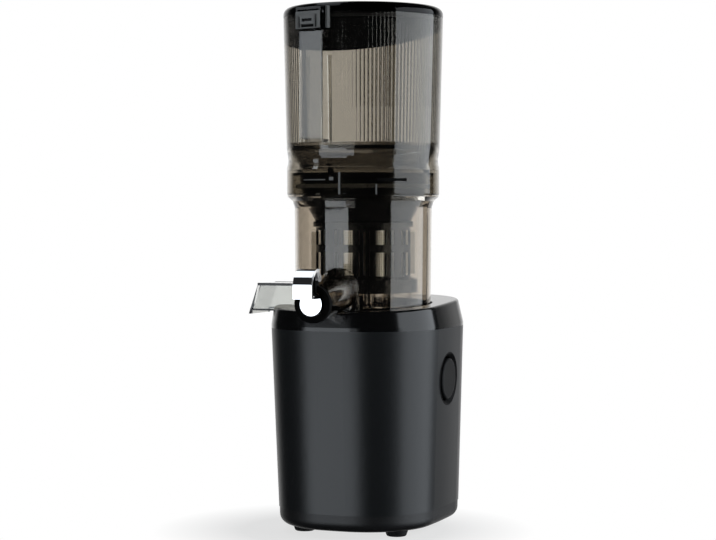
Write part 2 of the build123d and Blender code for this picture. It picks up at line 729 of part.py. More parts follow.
with BuildPart() as auger:
    revolve(
        half_section(
            (0, AUGER_LOW), (38, AUGER_LOW), (38, 250.5), (31, 254), (24, 276), (18, 298), (14, 308),
            (12, AUGER_TOP), (0, AUGER_TOP),
        ),
        axis=Axis.Z,
    )
    add(auger_flights.part.rotate(Axis.Z, 90))
    add(auger_flights.part.rotate(Axis.Z, 270))
    extrude(gear_sketch(SUN_TEETH, GEAR_LOW, IDLER_ANGLES[0]), amount=GEAR_HIGH - GEAR_LOW)
    with Locations((0, 0, GEAR_LOW)):
        Cylinder(16, AUGER_LOW - GEAR_LOW, align=UP)
    with Locations((0, 0, GEAR_LOW - 1)):
        Cylinder(13, 267 - GEAR_LOW, align=UP, mode=Mode.SUBTRACT)
    with BuildSketch(Plane.XY.offset(AUGER_TOP)):
        RegularPolygon(8, 6, major_radius=False)
    extrude(amount=11)
    with BuildSketch(Plane.XY.offset(266)):
        RegularPolygon(9, 6, major_radius=False)
    extrude(amount=14, mode=Mode.SUBTRACT)
write(auger, "auger")

with BuildPart() as auger_bush:
    with BuildSketch(Plane.XY.offset(266)):
        RegularPolygon(9, 6, major_radius=False)
        RegularPolygon(HEX_AF / 2 + 0.1, 6, major_radius=False, mode=Mode.SUBTRACT)
    extrude(amount=14)
write(auger_bush, "auger_bush")

with BuildPart() as feed_blade:
    with Locations((0, 0, AUGER_TOP)):
        Cylinder(13, 16, align=UP)
    fillet(edges().filter_by(GeomType.CIRCLE).sort_by(Axis.Z)[-1], 4)
    with BuildSketch(Plane.XZ):
        with BuildLine():
            outer = Spline((9, 322), (28, 334), (38, 356), (41, 386))
            inner = Spline((36.5, 386), (32, 358), (23, 343), (9, 335))
            Line(outer @ 1, inner @ 0)
            Line(inner @ 1, outer @ 0)
        make_face()
    extrude(amount=2.2, both=True)
    with BuildSketch(Plane.XZ):
        with BuildLine():
            outer = Spline((-9, 322), (-26, 332), (-35, 346), (-38, 362))
            inner = Spline((-34, 362), (-30, 350), (-22, 341), (-9, 335))
            Line(outer @ 1, inner @ 0)
            Line(inner @ 1, outer @ 0)
        make_face()
    extrude(amount=2.2, both=True)
    with BuildSketch(Plane.XY.offset(AUGER_TOP)):
        RegularPolygon(8.1, 6, major_radius=False)
    extrude(amount=11.2, mode=Mode.SUBTRACT)
write(feed_blade, "feed_blade")

for number, (place, angle) in enumerate(zip(IDLER_PLACES, IDLER_ANGLES), start=1):
    with BuildPart() as idler_gear:
        extrude(gear_sketch(IDLER_TEETH, GEAR_LOW, angle), amount=GEAR_HIGH - GEAR_LOW)
        with Locations((0, 0, GEAR_LOW)):
            Cylinder(3.05, 10, align=UP, mode=Mode.SUBTRACT)
    idler_gear.part.position = (*place, 0)
    write(idler_gear, f"idler_gear_{number}")

RING_PITCH_R = MODULE * RING_TEETH / 2
BLADE_SLOTS = 4

with BuildPart() as wiper_frame:
    with BuildSketch(Plane.XY.offset(GEAR_LOW)):
        Circle(54.5)
        Circle(RING_PITCH_R + 1.8, mode=Mode.SUBTRACT)
        with PolarLocations(RING_PITCH_R, RING_TEETH, start_angle=IDLER_ANGLES[0] + 180 / RING_TEETH):
            Polygon((2.4, -1.6), (-1.3, -0.55), (-1.3, 0.55), (2.4, 1.6), align=None)
    extrude(amount=GEAR_HIGH - GEAR_LOW)
    revolve(
        half_section(
            (46, GEAR_HIGH), (54.5, GEAR_HIGH), (54.5, 250), (WIPER_R, 252.5), (WIPER_R, 301.5),
            (44.8, 301.5), (44.8, 252), (46, 250),
        ),
        axis=Axis.Z,
    )
    for low, tall in WINDOW_ROWS:
        with BuildSketch(Plane.XY.offset(low + 0.3)):
            with PolarLocations(WIPER_R - 1, 8):
                Rectangle(8, 27)
        extrude(amount=tall - 0.6, mode=Mode.SUBTRACT)
    with BuildSketch(Plane.XY.offset(255)):
        with PolarLocations(WIPER_R - 1, BLADE_SLOTS, start_angle=22.5):
            Rectangle(8, 2)
    extrude(amount=42, mode=Mode.SUBTRACT)
write(wiper_frame, "wiper_frame")

with BuildPart() as wiper_blades:
    with BuildSketch(Plane.XY.offset(255)):
        with PolarLocations(47.5, BLADE_SLOTS, start_angle=22.5):
            Rectangle(8.4, 2)
    extrude(amount=42)
write(wiper_blades, "wiper_blades")

# ---- hopper ----
with BuildPart() as hopper_throat:
    revolve(
        half_section(
            (44.6, 307), (58, 331), (60.5, 345), (60.5, 355), (70.3, 355), (70.3, 352.5), (63, 352.5),
            (63, 345), (60.6, 330.5), (47.4, 307),
        ),
        axis=Axis.Z,
    )
write(hopper_throat, "hopper_throat")

with BuildPart() as hopper_seal:
    revolve(half_section((63, 340), (67, 340), (67, 344), (63, 344)), axis=Axis.Z)
write(hopper_seal, "hopper_seal")

with BuildPart() as hopper_collar:
    revolve(
        half_section(
            (70.5, BOWL_RIM + 0.2), (RIM_R, BOWL_RIM + 0.2), (COLLAR_R, BOWL_RIM + 1.6),
            (COLLAR_R, COLLAR_TOP), (61, COLLAR_TOP), (61, 355), (70.5, 355),
        ),
        axis=Axis.Z,
    )
    with BuildSketch(Plane.XY.offset(BOWL_RIM)):
        with PolarLocations(71.5, 3, start_angle=RIB_TURN - 60):
            Rectangle(4, 26)
    extrude(amount=10, mode=Mode.SUBTRACT)
write(hopper_collar, "hopper_collar")

with BuildPart() as hopper_floor:
    revolve(
        half_section(
            (61, COLLAR_TOP), (61, 361.5), (71.8, 381.5), (71.8, 384), (DRUM_FOOT_R - DRUM_WALL, 384),
            (72.7, 377.5), (63.5, 360.4), (63.5, COLLAR_TOP),
        ),
        axis=Axis.Z,
    )
write(hopper_floor, "hopper_floor")

RAIL_THICK = 2.4
RAIL_X = RIB_HALF - RAIL_THICK / 2

with BuildPart() as hopper_drum:
    revolve(
        half_section(
            (COLLAR_R, COLLAR_TOP), (COLLAR_R, 360.5), (WAIST_R, 366.5), (WAIST_R, 370), (DRUM_FOOT_R, 378.5),
            (DRUM_R, DRUM_TOP), (DRUM_R - DRUM_WALL, DRUM_TOP), (DRUM_FOOT_R - DRUM_WALL, 384), (72.7, 377.5),
            (WAIST_R - DRUM_WALL, 369), (WAIST_R - DRUM_WALL, 366.5), (COLLAR_R - DRUM_WALL, 360),
            (COLLAR_R - DRUM_WALL, COLLAR_TOP),
        ),
        axis=Axis.Z,
    )
    with Locations(Location((0, 0, 0), (0, 0, RIB_TURN))):
        with Locations((0, -76, RIB_LOW)):
            Box(2 * RIB_HALF, RIB_FACE - 76, RIB_HIGH - RIB_LOW, align=OUT)
        with Locations((0, -70, RIB_LOW + 3)):
            Box(2 * RIB_HALF - 5, RIB_FACE - 72.4, RIB_HIGH - RIB_LOW - 6, align=OUT, mode=Mode.SUBTRACT)
        with Locations((RAIL_X, -RAIL_IN, RIB_LOW), (-RAIL_X, -RAIL_IN, RIB_LOW)):
            Box(RAIL_THICK, 8, RAIL_TOP - RIB_LOW, align=OUT)
write(hopper_drum, "hopper_drum")

LUG_FROM = 9
LUG_WIDE = 6
LUG_R = 4

with BuildPart() as hinge_column:
    with Locations((0, 70, COLUMN_LOW)):
        Box(2 * COLUMN_HALF, COLUMN_FACE - 70, COLUMN_STEP - COLUMN_LOW, align=BACK)
    with Locations((0, 70, COLUMN_STEP)):
        Box(2 * COLUMN_HEAD_HALF, COLUMN_FACE - 70, COLUMN_TOP - COLUMN_STEP, align=BACK)
    fillet(edges().filter_by(Axis.Z).group_by(Axis.Y)[-1], 3)
    for lug_face in (LUG_FROM, -LUG_FROM - LUG_WIDE):
        with BuildSketch(plane_across(0, lug_face)):
            with Locations((HINGE_Y, HINGE_Z)):
                Circle(LUG_R)
                Rectangle(2 * LUG_R, HINGE_Z - COLUMN_TOP + 1, align=(Align.CENTER, Align.MAX))
        extrude(amount=LUG_WIDE)
    revolve(
        half_section((0, COLUMN_LOW - 5), (DRUM_FOOT_R, 378.5), (DRUM_R, DRUM_TOP), (0, DRUM_TOP)),
        axis=Axis.Z,
        mode=Mode.SUBTRACT,
    )
    with BuildSketch(plane_across(0, -20)):
        with Locations((HINGE_Y, HINGE_Z)):
            Circle(1.8)
    extrude(amount=40, mode=Mode.SUBTRACT)
write(hinge_column, "hinge_column")

with BuildPart() as lid_hinge_pin:
    with BuildSketch(plane_across(0, -15)):
        with Locations((HINGE_Y, HINGE_Z)):
            Circle(1.75)
    extrude(amount=30)
write(lid_hinge_pin, "lid_hinge_pin")

PLUG_R = 75.4
PLUG_LOW = 503

with BuildPart() as lid:
    revolve(
        half_section(
            (0, LID_TOP), (DRUM_R, LID_TOP), (DRUM_R, DRUM_TOP + 0.2), (PLUG_R, DRUM_TOP + 0.2),
            (PLUG_R, PLUG_LOW), (PLUG_R - 2.6, PLUG_LOW), (PLUG_R - 2.6, LID_TOP - 3), (0, LID_TOP - 3),
        ),
        axis=Axis.Z,
    )
    fillet(faces().sort_by(Axis.Z)[-1].edges(), LID_ROUND)
    with Locations(Location((0, 0, 0), (0, 0, RIB_TURN))):
        with Locations((LATCH_HALF - 1, -80.9, LATCH_LOW), (-LATCH_HALF + 1, -80.9, LATCH_LOW)):
            Box(2, 7.1, LATCH_HIGH - LATCH_LOW, align=OUT)
        with Locations((0, -76, LATCH_ROOF)):
            Box(2 * LATCH_HALF, 12, LATCH_HIGH - LATCH_ROOF, align=OUT)
    with Locations((0, 79, HINGE_Z)):
        Box(17, 7, 9.5, align=BACK)
    with BuildSketch(plane_across(0, -8.5)):
        with Locations((HINGE_Y, HINGE_Z)):
            Circle(4)
    extrude(amount=17)
    with Locations((0, 82, HINGE_Z - 5)):
        Box(17.4, 6, 7.3, align=OUT, mode=Mode.SUBTRACT)
    with BuildSketch(plane_across(0, -20)):
        with Locations((HINGE_Y, HINGE_Z)):
            Circle(1.85)
    extrude(amount=40, mode=Mode.SUBTRACT)
    with BuildSketch(plane_across(RIB_TURN, -20)):
        with Locations((-LATCH_PIN_Y, LATCH_PIN_Z)):
            Circle(1.2)
    extrude(amount=40, mode=Mode.SUBTRACT)
write(lid, "lid")

SKIRT_R = 72.5

with BuildPart() as lid_skirt:
    with Locations((0, 0, SKIRT_LOW - 2)):
        Cylinder(SKIRT_R, LID_TOP - 3 - SKIRT_LOW + 2, align=UP)
        Cylinder(SKIRT_R - 1.8, LID_TOP - 3 - SKIRT_LOW + 2, align=UP, mode=Mode.SUBTRACT)
    tilt = radians(SKIRT_TILT)
    split(
        bisect_by=Plane(origin=(0, -72, SKIRT_LOW), x_dir=(1, 0, 0), z_dir=(0, -sin(tilt), cos(tilt))),
        keep=Keep.TOP,
    )
write(lid_skirt, "lid_skirt")

with BuildPart() as lid_seal:
    revolve(half_section((PLUG_R, 504.5), (76.8, 504.5), (76.8, 507.5), (PLUG_R, 507.5)), axis=Axis.Z)
write(lid_seal, "lid_seal")

with BuildPart() as latch_pin:
    with BuildSketch(plane_across(0, -LATCH_HALF)):
        with Locations((-LATCH_PIN_Y, LATCH_PIN_Z)):
            Circle(1.2)
    extrude(amount=2 * LATCH_HALF)
write(latch_pin, "latch_pin", RIB_TURN)

with BuildPart() as lid_latch:
    with Locations((0, -83.4, LATCH_LOW + 0.5)):
        Box(2 * LATCH_HALF - 4.6, LATCH_FACE - 83.4, 508.3 - LATCH_LOW - 0.5, align=OUT)
    with BuildSketch(plane_across(0, 2.3 - LATCH_HALF)):
        with Locations((-LATCH_PIN_Y, LATCH_PIN_Z)):
            Circle(1.9)
    extrude(amount=2 * LATCH_HALF - 4.6)
    with Locations((0, -LATCH_FACE + 2.5, LATCH_LOW + 3)):
        Box(16, 4, 9, align=OUT, mode=Mode.SUBTRACT)
    with BuildSketch(plane_across(0, -20)):
        with Locations((-LATCH_PIN_Y, LATCH_PIN_Z)):
            Circle(1.25)
    extrude(amount=40, mode=Mode.SUBTRACT)
write(lid_latch, "lid_latch", RIB_TURN)
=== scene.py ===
# %% [markdown]
# # Dressing a cold press juicer
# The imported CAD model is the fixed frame: its pieces stand where the real ones stand, in metres,
# with the table at z = 0. This lesson gives every piece its finish, and replaces the few whose
# looks need more than a machined solid, such as the fluted hopper. Nothing of the frame is moved
# or resized.

# %% Load the frame
import math

import bmesh
import bpy
from mathutils import Matrix, Vector


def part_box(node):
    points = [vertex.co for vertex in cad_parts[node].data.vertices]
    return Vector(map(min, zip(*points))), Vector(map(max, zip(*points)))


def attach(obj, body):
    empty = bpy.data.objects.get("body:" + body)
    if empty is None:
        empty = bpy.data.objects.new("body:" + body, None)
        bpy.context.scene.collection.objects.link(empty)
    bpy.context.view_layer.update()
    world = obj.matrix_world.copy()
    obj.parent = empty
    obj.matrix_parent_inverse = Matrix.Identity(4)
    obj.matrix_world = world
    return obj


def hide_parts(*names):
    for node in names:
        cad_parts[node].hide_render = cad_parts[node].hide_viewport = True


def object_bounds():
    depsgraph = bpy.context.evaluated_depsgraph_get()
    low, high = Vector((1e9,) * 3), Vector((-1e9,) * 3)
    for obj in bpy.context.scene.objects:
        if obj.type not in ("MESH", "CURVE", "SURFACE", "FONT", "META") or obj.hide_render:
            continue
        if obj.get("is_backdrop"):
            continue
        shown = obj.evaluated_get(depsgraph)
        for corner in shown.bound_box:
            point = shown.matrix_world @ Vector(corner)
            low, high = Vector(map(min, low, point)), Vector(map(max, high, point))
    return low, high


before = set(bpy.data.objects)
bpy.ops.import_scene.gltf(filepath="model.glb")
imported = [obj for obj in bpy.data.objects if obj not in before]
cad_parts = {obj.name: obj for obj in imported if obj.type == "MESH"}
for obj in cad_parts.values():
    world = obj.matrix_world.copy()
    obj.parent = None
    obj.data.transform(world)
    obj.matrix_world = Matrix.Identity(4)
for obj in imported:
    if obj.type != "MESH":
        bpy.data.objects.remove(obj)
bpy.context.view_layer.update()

# %% [markdown]
# ## Where things are
# One place is read back from the CAD nodes, so that every new piece follows the frame: the drive
# axis runs up through the middle of the strainer, and the hopper, bowl and base are stacked about
# it. Profiles and boxes are given in millimetres about that axis.

# %% Measure the frame
MM = 0.001

low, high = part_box("strainer")
centre = (low + high) / 2
AXIS = Vector((centre.x, centre.y, 0))
print("drive axis at", tuple(round(v, 4) for v in AXIS))

# %% [markdown]
# ## Camera
# A long lens, a little above the middle of the appliance and 21 degrees round to its right, with
# almost level sight. Two metres of distance with a 100 mm lens keeps the uprights straight.

# %% Camera
CAMERA_AZIMUTH = math.radians(21)
CAMERA_DISTANCE = 2.0
CAMERA_HEIGHT = 0.3156
CAMERA_PITCH = math.radians(-1.632)
CAMERA_YAW = math.radians(0.149)
LENS_MM = 100.6
SENSOR_MM = 36


def add_object(name, data):
    """A new object in the scene, at the origin."""
    added = bpy.data.objects.new(name, data)
    bpy.context.scene.collection.objects.link(added)
    return added


lens = bpy.data.cameras.new("camera")
lens.lens = LENS_MM
lens.sensor_width = SENSOR_MM
camera = add_object("camera", lens)
camera.location = AXIS + Vector((
    CAMERA_DISTANCE * math.sin(CAMERA_AZIMUTH),
    -CAMERA_DISTANCE * math.cos(CAMERA_AZIMUTH),
    CAMERA_HEIGHT,
))
camera.rotation_euler = (math.pi / 2 + CAMERA_PITCH, 0, CAMERA_AZIMUTH + CAMERA_YAW)
bpy.context.scene.camera = camera
bpy.context.scene.view_settings.view_transform = "Standard"
print("camera at", tuple(round(v, 3) for v in camera.location))

# %% [markdown]
# ## Nodes in few words
# Finishes, the surround and the growing trees are all node trees. These helpers add a node and feed
# its inputs in one call, where each input is fed by a plain value or by another node's output.

# %% Node helpers
VALUE_OPERATIONS = ("DOT_PRODUCT", "LENGTH")  # the vector operations that put out one number


def new_tree(owner):
    """An empty node tree on a material or world."""
    owner.use_nodes = True
    tree = owner.node_tree
    tree.nodes.clear()
    return tree


def feed(tree, socket, value):
    """Feeds an input with another node's output, or with a plain value."""
    if isinstance(value, bpy.types.NodeSocket):
        tree.links.new(value, socket)
    else:
        socket.default_value = value


def add_node(tree, kind, **values):
    """A node with some of its inputs fed by name."""
    node = tree.nodes.new(kind)
    for name, value in values.items():
        feed(tree, node.inputs[name.replace("_", " ")], value)
    return node


def math_node(tree, operation, first, second=0.0):
    """The output of a Math node."""
    node = tree.nodes.new("ShaderNodeMath")
    node.operation = operation
    for socket, value in zip(node.inputs, (first, second)):
        feed(tree, socket, value)
    return node.outputs[0]


def vector_node(tree, operation, first, second=None, scale=None):
    """The output of a Vector Math node: a vector, or a number where the operation gives one."""
    node = tree.nodes.new("ShaderNodeVectorMath")
    node.operation = operation
    feed(tree, node.inputs[0], first)
    if second is not None:
        feed(tree, node.inputs[1], second)
    if scale is not None:
        feed(tree, node.inputs["Scale"], scale)
    return node.outputs["Value" if operation in VALUE_OPERATIONS else "Vector"]


def mix_shaders(tree, factor, first, second):
    """The first shader where the factor is 0, and the second where it is 1."""
    mix = tree.nodes.new("ShaderNodeMixShader")
    for socket, value in zip(mix.inputs, (factor, first, second)):
        feed(tree, socket, value)
    return mix.outputs[0]


print("node helpers: feed, add, math, vector, mix")

# %% [markdown]
# ## Surround
# The appliance stands in a white surround that never floods it. The camera, and sight that only
# passes through clear plastic, see plain white everywhere. Rays that mirror on their way see white
# only behind the appliance, where a studio has its backdrop, and a dim room elsewhere, so a dark
# glossy wall stays dark in its middle and turns pale at its edge, also where it stands behind a
# clear one.

# %% World
WHITE = (1, 1, 1, 1)
ROOM_FILL = 0.02
ROOM_TINT = (0.94, 0.97, 1, 1)
BACKDROP_EDGE = (math.cos(math.radians(45)), math.cos(math.radians(23)))


def plain_sight(tree):
    """1 for a camera ray, or one that only passed through clear walls on its way."""
    path = tree.nodes.new("ShaderNodeLightPath").outputs
    bounces = math_node(tree, "ADD", path["Glossy Depth"], path["Diffuse Depth"])
    direct = math_node(tree, "LESS_THAN", bounces, 0.5)
    through = math_node(tree, "MULTIPLY", path["Is Transmission Ray"], direct)
    return math_node(tree, "MAXIMUM", path["Is Camera Ray"], through)


world = bpy.data.worlds.new("studio")
bpy.context.scene.world = world
tree = new_tree(world)
look = tree.nodes.new("ShaderNodeTexCoord").outputs["Generated"]
away = (-math.sin(CAMERA_AZIMUTH), math.cos(CAMERA_AZIMUTH), 0)
behind = vector_node(tree, "DOT_PRODUCT", look, away)
backdrop = add_node(
    tree, "ShaderNodeMapRange", Value=behind, From_Min=BACKDROP_EDGE[0], From_Max=BACKDROP_EDGE[1],
)
whiteness = math_node(tree, "MAXIMUM", plain_sight(tree), backdrop.outputs["Result"])
room = add_node(tree, "ShaderNodeBackground", Color=ROOM_TINT, Strength=ROOM_FILL)
white = add_node(tree, "ShaderNodeBackground", Color=WHITE, Strength=1.0)
surround = mix_shaders(tree, whiteness, room.outputs[0], white.outputs[0])
add_node(tree, "ShaderNodeOutputWorld", Surface=surround)
print("room at", ROOM_FILL, "with a white backdrop")

# %% [markdown]
# The table is one large sheet. It takes the shadow of the appliance near its feet, fades to plain
# white away from them, and lets mirrored rays through, as a table of clear acrylic does, so that
# the lower walls mirror the softboxes that reach below it.

# %% Floor
FLOOR_HALF = 3.0
FLOOR_GREY = (0.8, 0.8, 0.8, 1)
SHADOW_REACH = (0.1, 0.19)
SHADOW_SHARE = 0.3

floor_mesh = bpy.data.meshes.new("floor")
corners = [(x * FLOOR_HALF, y * FLOOR_HALF, 0) for x, y in ((-1, -1), (1, -1), (1, 1), (-1, 1))]
floor_mesh.from_pydata(corners, [], [(0, 1, 2, 3)])
floor = add_object("floor", floor_mesh)
floor_paint = bpy.data.materials.new("white_floor")
tree = new_tree(floor_paint)
place = tree.nodes.new("ShaderNodeTexCoord").outputs["Object"]
fade = add_node(
    tree, "ShaderNodeMapRange", Value=vector_node(tree, "LENGTH", place),
    From_Min=SHADOW_REACH[0], From_Max=SHADOW_REACH[1], To_Min=SHADOW_SHARE, To_Max=0.0,
)
matt = add_node(tree, "ShaderNodeBsdfDiffuse", Color=FLOOR_GREY).outputs[0]
glow = add_node(tree, "ShaderNodeEmission", Color=WHITE, Strength=1.0).outputs[0]
shaded = mix_shaders(tree, fade.outputs["Result"], glow, matt)
straight = mix_shaders(tree, plain_sight(tree), matt, shaded)
clear_sheet = tree.nodes.new("ShaderNodeBsdfTransparent").outputs[0]
mirror_ray = tree.nodes.new("ShaderNodeLightPath").outputs["Is Glossy Ray"]
table_top = mix_shaders(tree, mirror_ray, straight, clear_sheet)
add_node(tree, "ShaderNodeOutputMaterial", Surface=table_top)
floor_mesh.materials.append(floor_paint)
floor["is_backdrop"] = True
print("floor of", 2 * FLOOR_HALF, "m")

# %% [markdown]
# A softbox is an area light beside the appliance. Its place is given by the compass angles of its
# two edges seen from the drive axis, 0 being the front and positive to the right, because those
# edges are what shows as the two sides of a highlight on a round wall. A light overhead shines on
# the bend of the chrome cap.

# %% Softboxes
LIGHT_TINT = (0.88, 0.94, 1.0)  # a cool daylight
SOFTBOXES = [  # name, compass angles, distance, heights of the two edges, watts a square metre
    ("left_softbox", (-49, 7), 1.6, (-0.7, 0.1), 7.5),
    ("left_softbox_top", (-44.5, -3.6), 1.6, (0.1, 0.295), 8.0),
    ("right_softbox", (72, 133), 1.5, (-0.7, 0.1), 5.8),
    ("right_softbox_top", (67.6, 139), 1.5, (0.1, 1.1), 7.0),
    ("rib_softbox", (-60, -50.8), 1.6, (0.44, 0.8), 8.8),
]
OVERHEAD_SIZE = (0.45, 1.6)
OVERHEAD_WATTS = 3.0
OVERHEAD_PLACE = (-0.55, -0.1, 1.6)


def area_light(name, size):
    """A rectangular light of a width and height."""
    light = bpy.data.lights.new(name, "AREA")
    light.shape = "RECTANGLE"
    light.size, light.size_y = size
    light.color = LIGHT_TINT
    return add_object(name, light)


def softbox(name, angles, distance, heights, density):
    """A tall light between two compass angles, turned to face the drive axis."""
    ends = [
        AXIS + distance * Vector((math.sin(math.radians(a)), -math.cos(math.radians(a)), 0))
        for a in angles
    ]
    low, high = heights
    lamp = area_light(name, ((ends[1] - ends[0]).length, high - low))
    lamp.data.energy = density * lamp.data.size * lamp.data.size_y
    lamp.location = (ends[0] + ends[1]) / 2 + Vector((0, 0, (low + high) / 2))
    towards = AXIS + Vector((0, 0, (low + high) / 2)) - lamp.location
    lamp.rotation_euler = towards.to_track_quat("-Z", "Y").to_euler()


for row in SOFTBOXES:
    softbox(*row)
overhead = area_light("overhead_softbox", OVERHEAD_SIZE)
overhead.data.energy = OVERHEAD_WATTS
overhead.location = AXIS + Vector(OVERHEAD_PLACE)
print("lights:", len(SOFTBOXES) + 1)

# %% [markdown]
# ## Shared effects
# Two effects belong to many finishes, so each is a node group: a slow drift of tone that keeps a
# moulded wall from looking printed, and a fine grain that breaks up its highlight.

# %% Node groups
def make_group(name, numbers, output, kind):
    """A shader node group with named numbers going in; returns it with its two end nodes."""
    group = bpy.data.node_groups.new(name, "ShaderNodeTree")
    for label, value in numbers.items():
        socket = group.interface.new_socket(label, in_out="INPUT", socket_type="NodeSocketFloat")
        socket.default_value = value
    group.interface.new_socket(output, in_out="OUTPUT", socket_type=kind)
    return group, group.nodes.new("NodeGroupInput"), group.nodes.new("NodeGroupOutput")


def group_tone_drift():
    """Puts out a factor that drifts about 1, for a colour or a roughness."""
    group, start, end = make_group(
        "tone_drift", {"Size": 12.0, "Amount": 0.05}, "Factor", "NodeSocketFloat",
    )
    place = group.nodes.new("ShaderNodeTexCoord").outputs["Object"]
    noise = add_node(
        group, "ShaderNodeTexNoise", Vector=place, Scale=start.outputs["Size"], Detail=3.0,
        Roughness=0.55,
    )
    spread = math_node(group, "SUBTRACT", noise.outputs["Fac"], 0.5)
    drift = math_node(group, "MULTIPLY", spread, start.outputs["Amount"])
    feed(group, end.inputs["Factor"], math_node(group, "ADD", drift, 1.0))
    return group


def group_fine_grain():
    """Puts out a normal roughened by a fine even grain."""
    group, start, end = make_group(
        "fine_grain", {"Size": 900.0, "Strength": 0.1, "Depth": 0.0002}, "Normal",
        "NodeSocketVector",
    )
    place = group.nodes.new("ShaderNodeTexCoord").outputs["Object"]
    noise = add_node(
        group, "ShaderNodeTexNoise", Vector=place, Scale=start.outputs["Size"], Detail=2.0,
        Roughness=0.6,
    )
    bump = add_node(
        group, "ShaderNodeBump", Height=noise.outputs["Fac"], Strength=start.outputs["Strength"],
        Distance=start.outputs["Depth"],
    )
    feed(group, end.inputs["Normal"], bump.outputs["Normal"])
    return group


TONE_DRIFT = group_tone_drift()
FINE_GRAIN = group_fine_grain()


def use_group(tree, group, **values):
    """The output of a shared group in a material, with its own values."""
    node = tree.nodes.new("ShaderNodeGroup")
    node.node_tree = group
    for name, value in values.items():
        feed(tree, node.inputs[name], value)
    return node.outputs[0]


print("groups:", TONE_DRIFT.name, FINE_GRAIN.name)

# %% [markdown]
# ## Opaque finishes
# Moulded plastic, paint, rubber and metal differ in a few numbers: colour, roughness, how metallic
# they are, how strongly they mirror and how marked their grain is. One function makes them all, and
# each finish is one call.

# %% Opaque finishes
FINISHES = {}
DRIFT_SIZE = 14.0
GRAIN_SIZE = 900.0


def opaque(name, colour, roughness, metallic=0.0, drift=0.08, grain=0.1, ior=1.5):
    """A solid finish: its colour and roughness drift, and a fine grain breaks its highlight."""
    material = bpy.data.materials.new(name)
    tree = new_tree(material)
    slow = use_group(tree, TONE_DRIFT, Size=DRIFT_SIZE, Amount=drift)
    shader = add_node(
        tree, "ShaderNodeBsdfPrincipled", Metallic=metallic, IOR=ior,
        Base_Color=vector_node(tree, "SCALE", colour, scale=slow),
        Roughness=math_node(tree, "MULTIPLY", slow, roughness),
        Normal=use_group(tree, FINE_GRAIN, Size=GRAIN_SIZE, Strength=grain),
    )
    add_node(tree, "ShaderNodeOutputMaterial", Surface=shader.outputs[0])
    FINISHES[name] = material


opaque("charcoal_paint", (0.014, 0.0155, 0.017), 0.36, drift=0.06)
opaque("gloss_black", (0.004, 0.0042, 0.0045), 0.14, grain=0.02)
opaque("black_plastic", (0.016, 0.016, 0.017), 0.45, grain=0.3)
opaque("rubber", (0.014, 0.014, 0.014), 0.65, grain=0.4)
opaque("steel", (0.55, 0.55, 0.56), 0.25, metallic=1.0)
opaque("motor_metal", (0.3, 0.31, 0.32), 0.5, metallic=0.6)
opaque("board_green", (0.03, 0.16, 0.07), 0.4)
# dark resin of the strainer, auger and throat, also used as painted shade: the chute's edges and
# the floors of the latch's slots
opaque("dark_resin", (0.008, 0.0085, 0.009), 0.2, grain=0.04)
opaque("chrome", (0.86, 0.86, 0.87), 0.05, metallic=1.0, drift=0.02, grain=0.0)
opaque("silicone", (0.02, 0.02, 0.022), 0.4)
opaque("pale_silicone", (0.45, 0.46, 0.46), 0.45)
opaque("white_resin", (0.55, 0.55, 0.53), 0.35)
opaque("screen_steel", (0.82, 0.8, 0.74), 0.34, metallic=1.0, drift=0.04)
# grey resin of the latch flap, also used as a painted highlight on the collar's lines and the strip
# beside the latch
opaque("grey_resin_and_painted_highlight", (0.25, 0.253, 0.247), 0.32, grain=0.2)
opaque("switch_face", (0.009, 0.0095, 0.01), 0.42, grain=0.2, ior=1.2)
opaque("switch_ring", (0.003, 0.003, 0.003), 0.55, ior=1.25)
# black silicone of the spout ring and cap plug, also used as painted shade: the ring under the
# funnel and the collar's slot
opaque("matt_silicone_and_painted_shade", (0.003, 0.003, 0.003), 0.8, ior=1.2)
print("opaque finishes:", len(FINISHES))

# %% [markdown]
# ## Clear finishes
# The bowl and hopper are smoky clear plastic. Light that passes a wall is tinted at each face, so
# the colour given here is what one whole wall lets through. Rays that only carry shadow pass
# straight through with the same tint, which keeps the inside lit. The roughness also stays on the
# shader's own socket, for a program that doesn't follow its drift.

# %% Clear finishes
CLEAR_DRIFT_SIZE = 30.0
CLEAR_DRIFT = 0.3


def clear(name, tint, roughness=0.03, ior=1.5):
    """A clear plastic whose walls tint what is seen through them."""
    material = bpy.data.materials.new(name)
    tree = new_tree(material)
    shader = add_node(
        tree, "ShaderNodeBsdfPrincipled", Base_Color=(*tint, 1), IOR=ior, Transmission_Weight=1.0,
        Roughness=roughness,
    )
    slow = use_group(tree, TONE_DRIFT, Size=CLEAR_DRIFT_SIZE, Amount=CLEAR_DRIFT)
    feed(tree, shader.inputs["Roughness"], math_node(tree, "MULTIPLY", slow, roughness))
    face_tint = [math.sqrt(c) for c in tint]
    through = add_node(tree, "ShaderNodeBsdfTransparent", Color=(*face_tint, 1))
    shadow_ray = tree.nodes.new("ShaderNodeLightPath").outputs["Is Shadow Ray"]
    wall = mix_shaders(tree, shadow_ray, shader.outputs[0], through.outputs[0])
    add_node(tree, "ShaderNodeOutputMaterial", Surface=wall)
    FINISHES[name] = material


clear("smoke_drum", (0.553, 0.526, 0.4765))
clear("smoke_bowl", (0.598, 0.548, 0.48))
clear("smoke_chute", (0.671, 0.673, 0.645))
# the rib's face: the same plastic tinted darker, painted shade of the hollow behind it
clear("smoke_rib_painted_shade", (0.22, 0.208, 0.182))
clear("smoke_collar", (0.3, 0.27, 0.22))
clear("smoke_lid", (0.02, 0.02, 0.02), ior=1.28)
clear("smoke_column", (0.3, 0.28, 0.25))
clear("clear_silicone", (0.5, 0.49, 0.46), roughness=0.3, ior=1.2)
print("finishes in all:", len(FINISHES))

# %% [markdown]
# ## Dress the frame
# Every CAD node that stays on show gets its finish by name. Its mesh is left alone, and only its
# material changes.

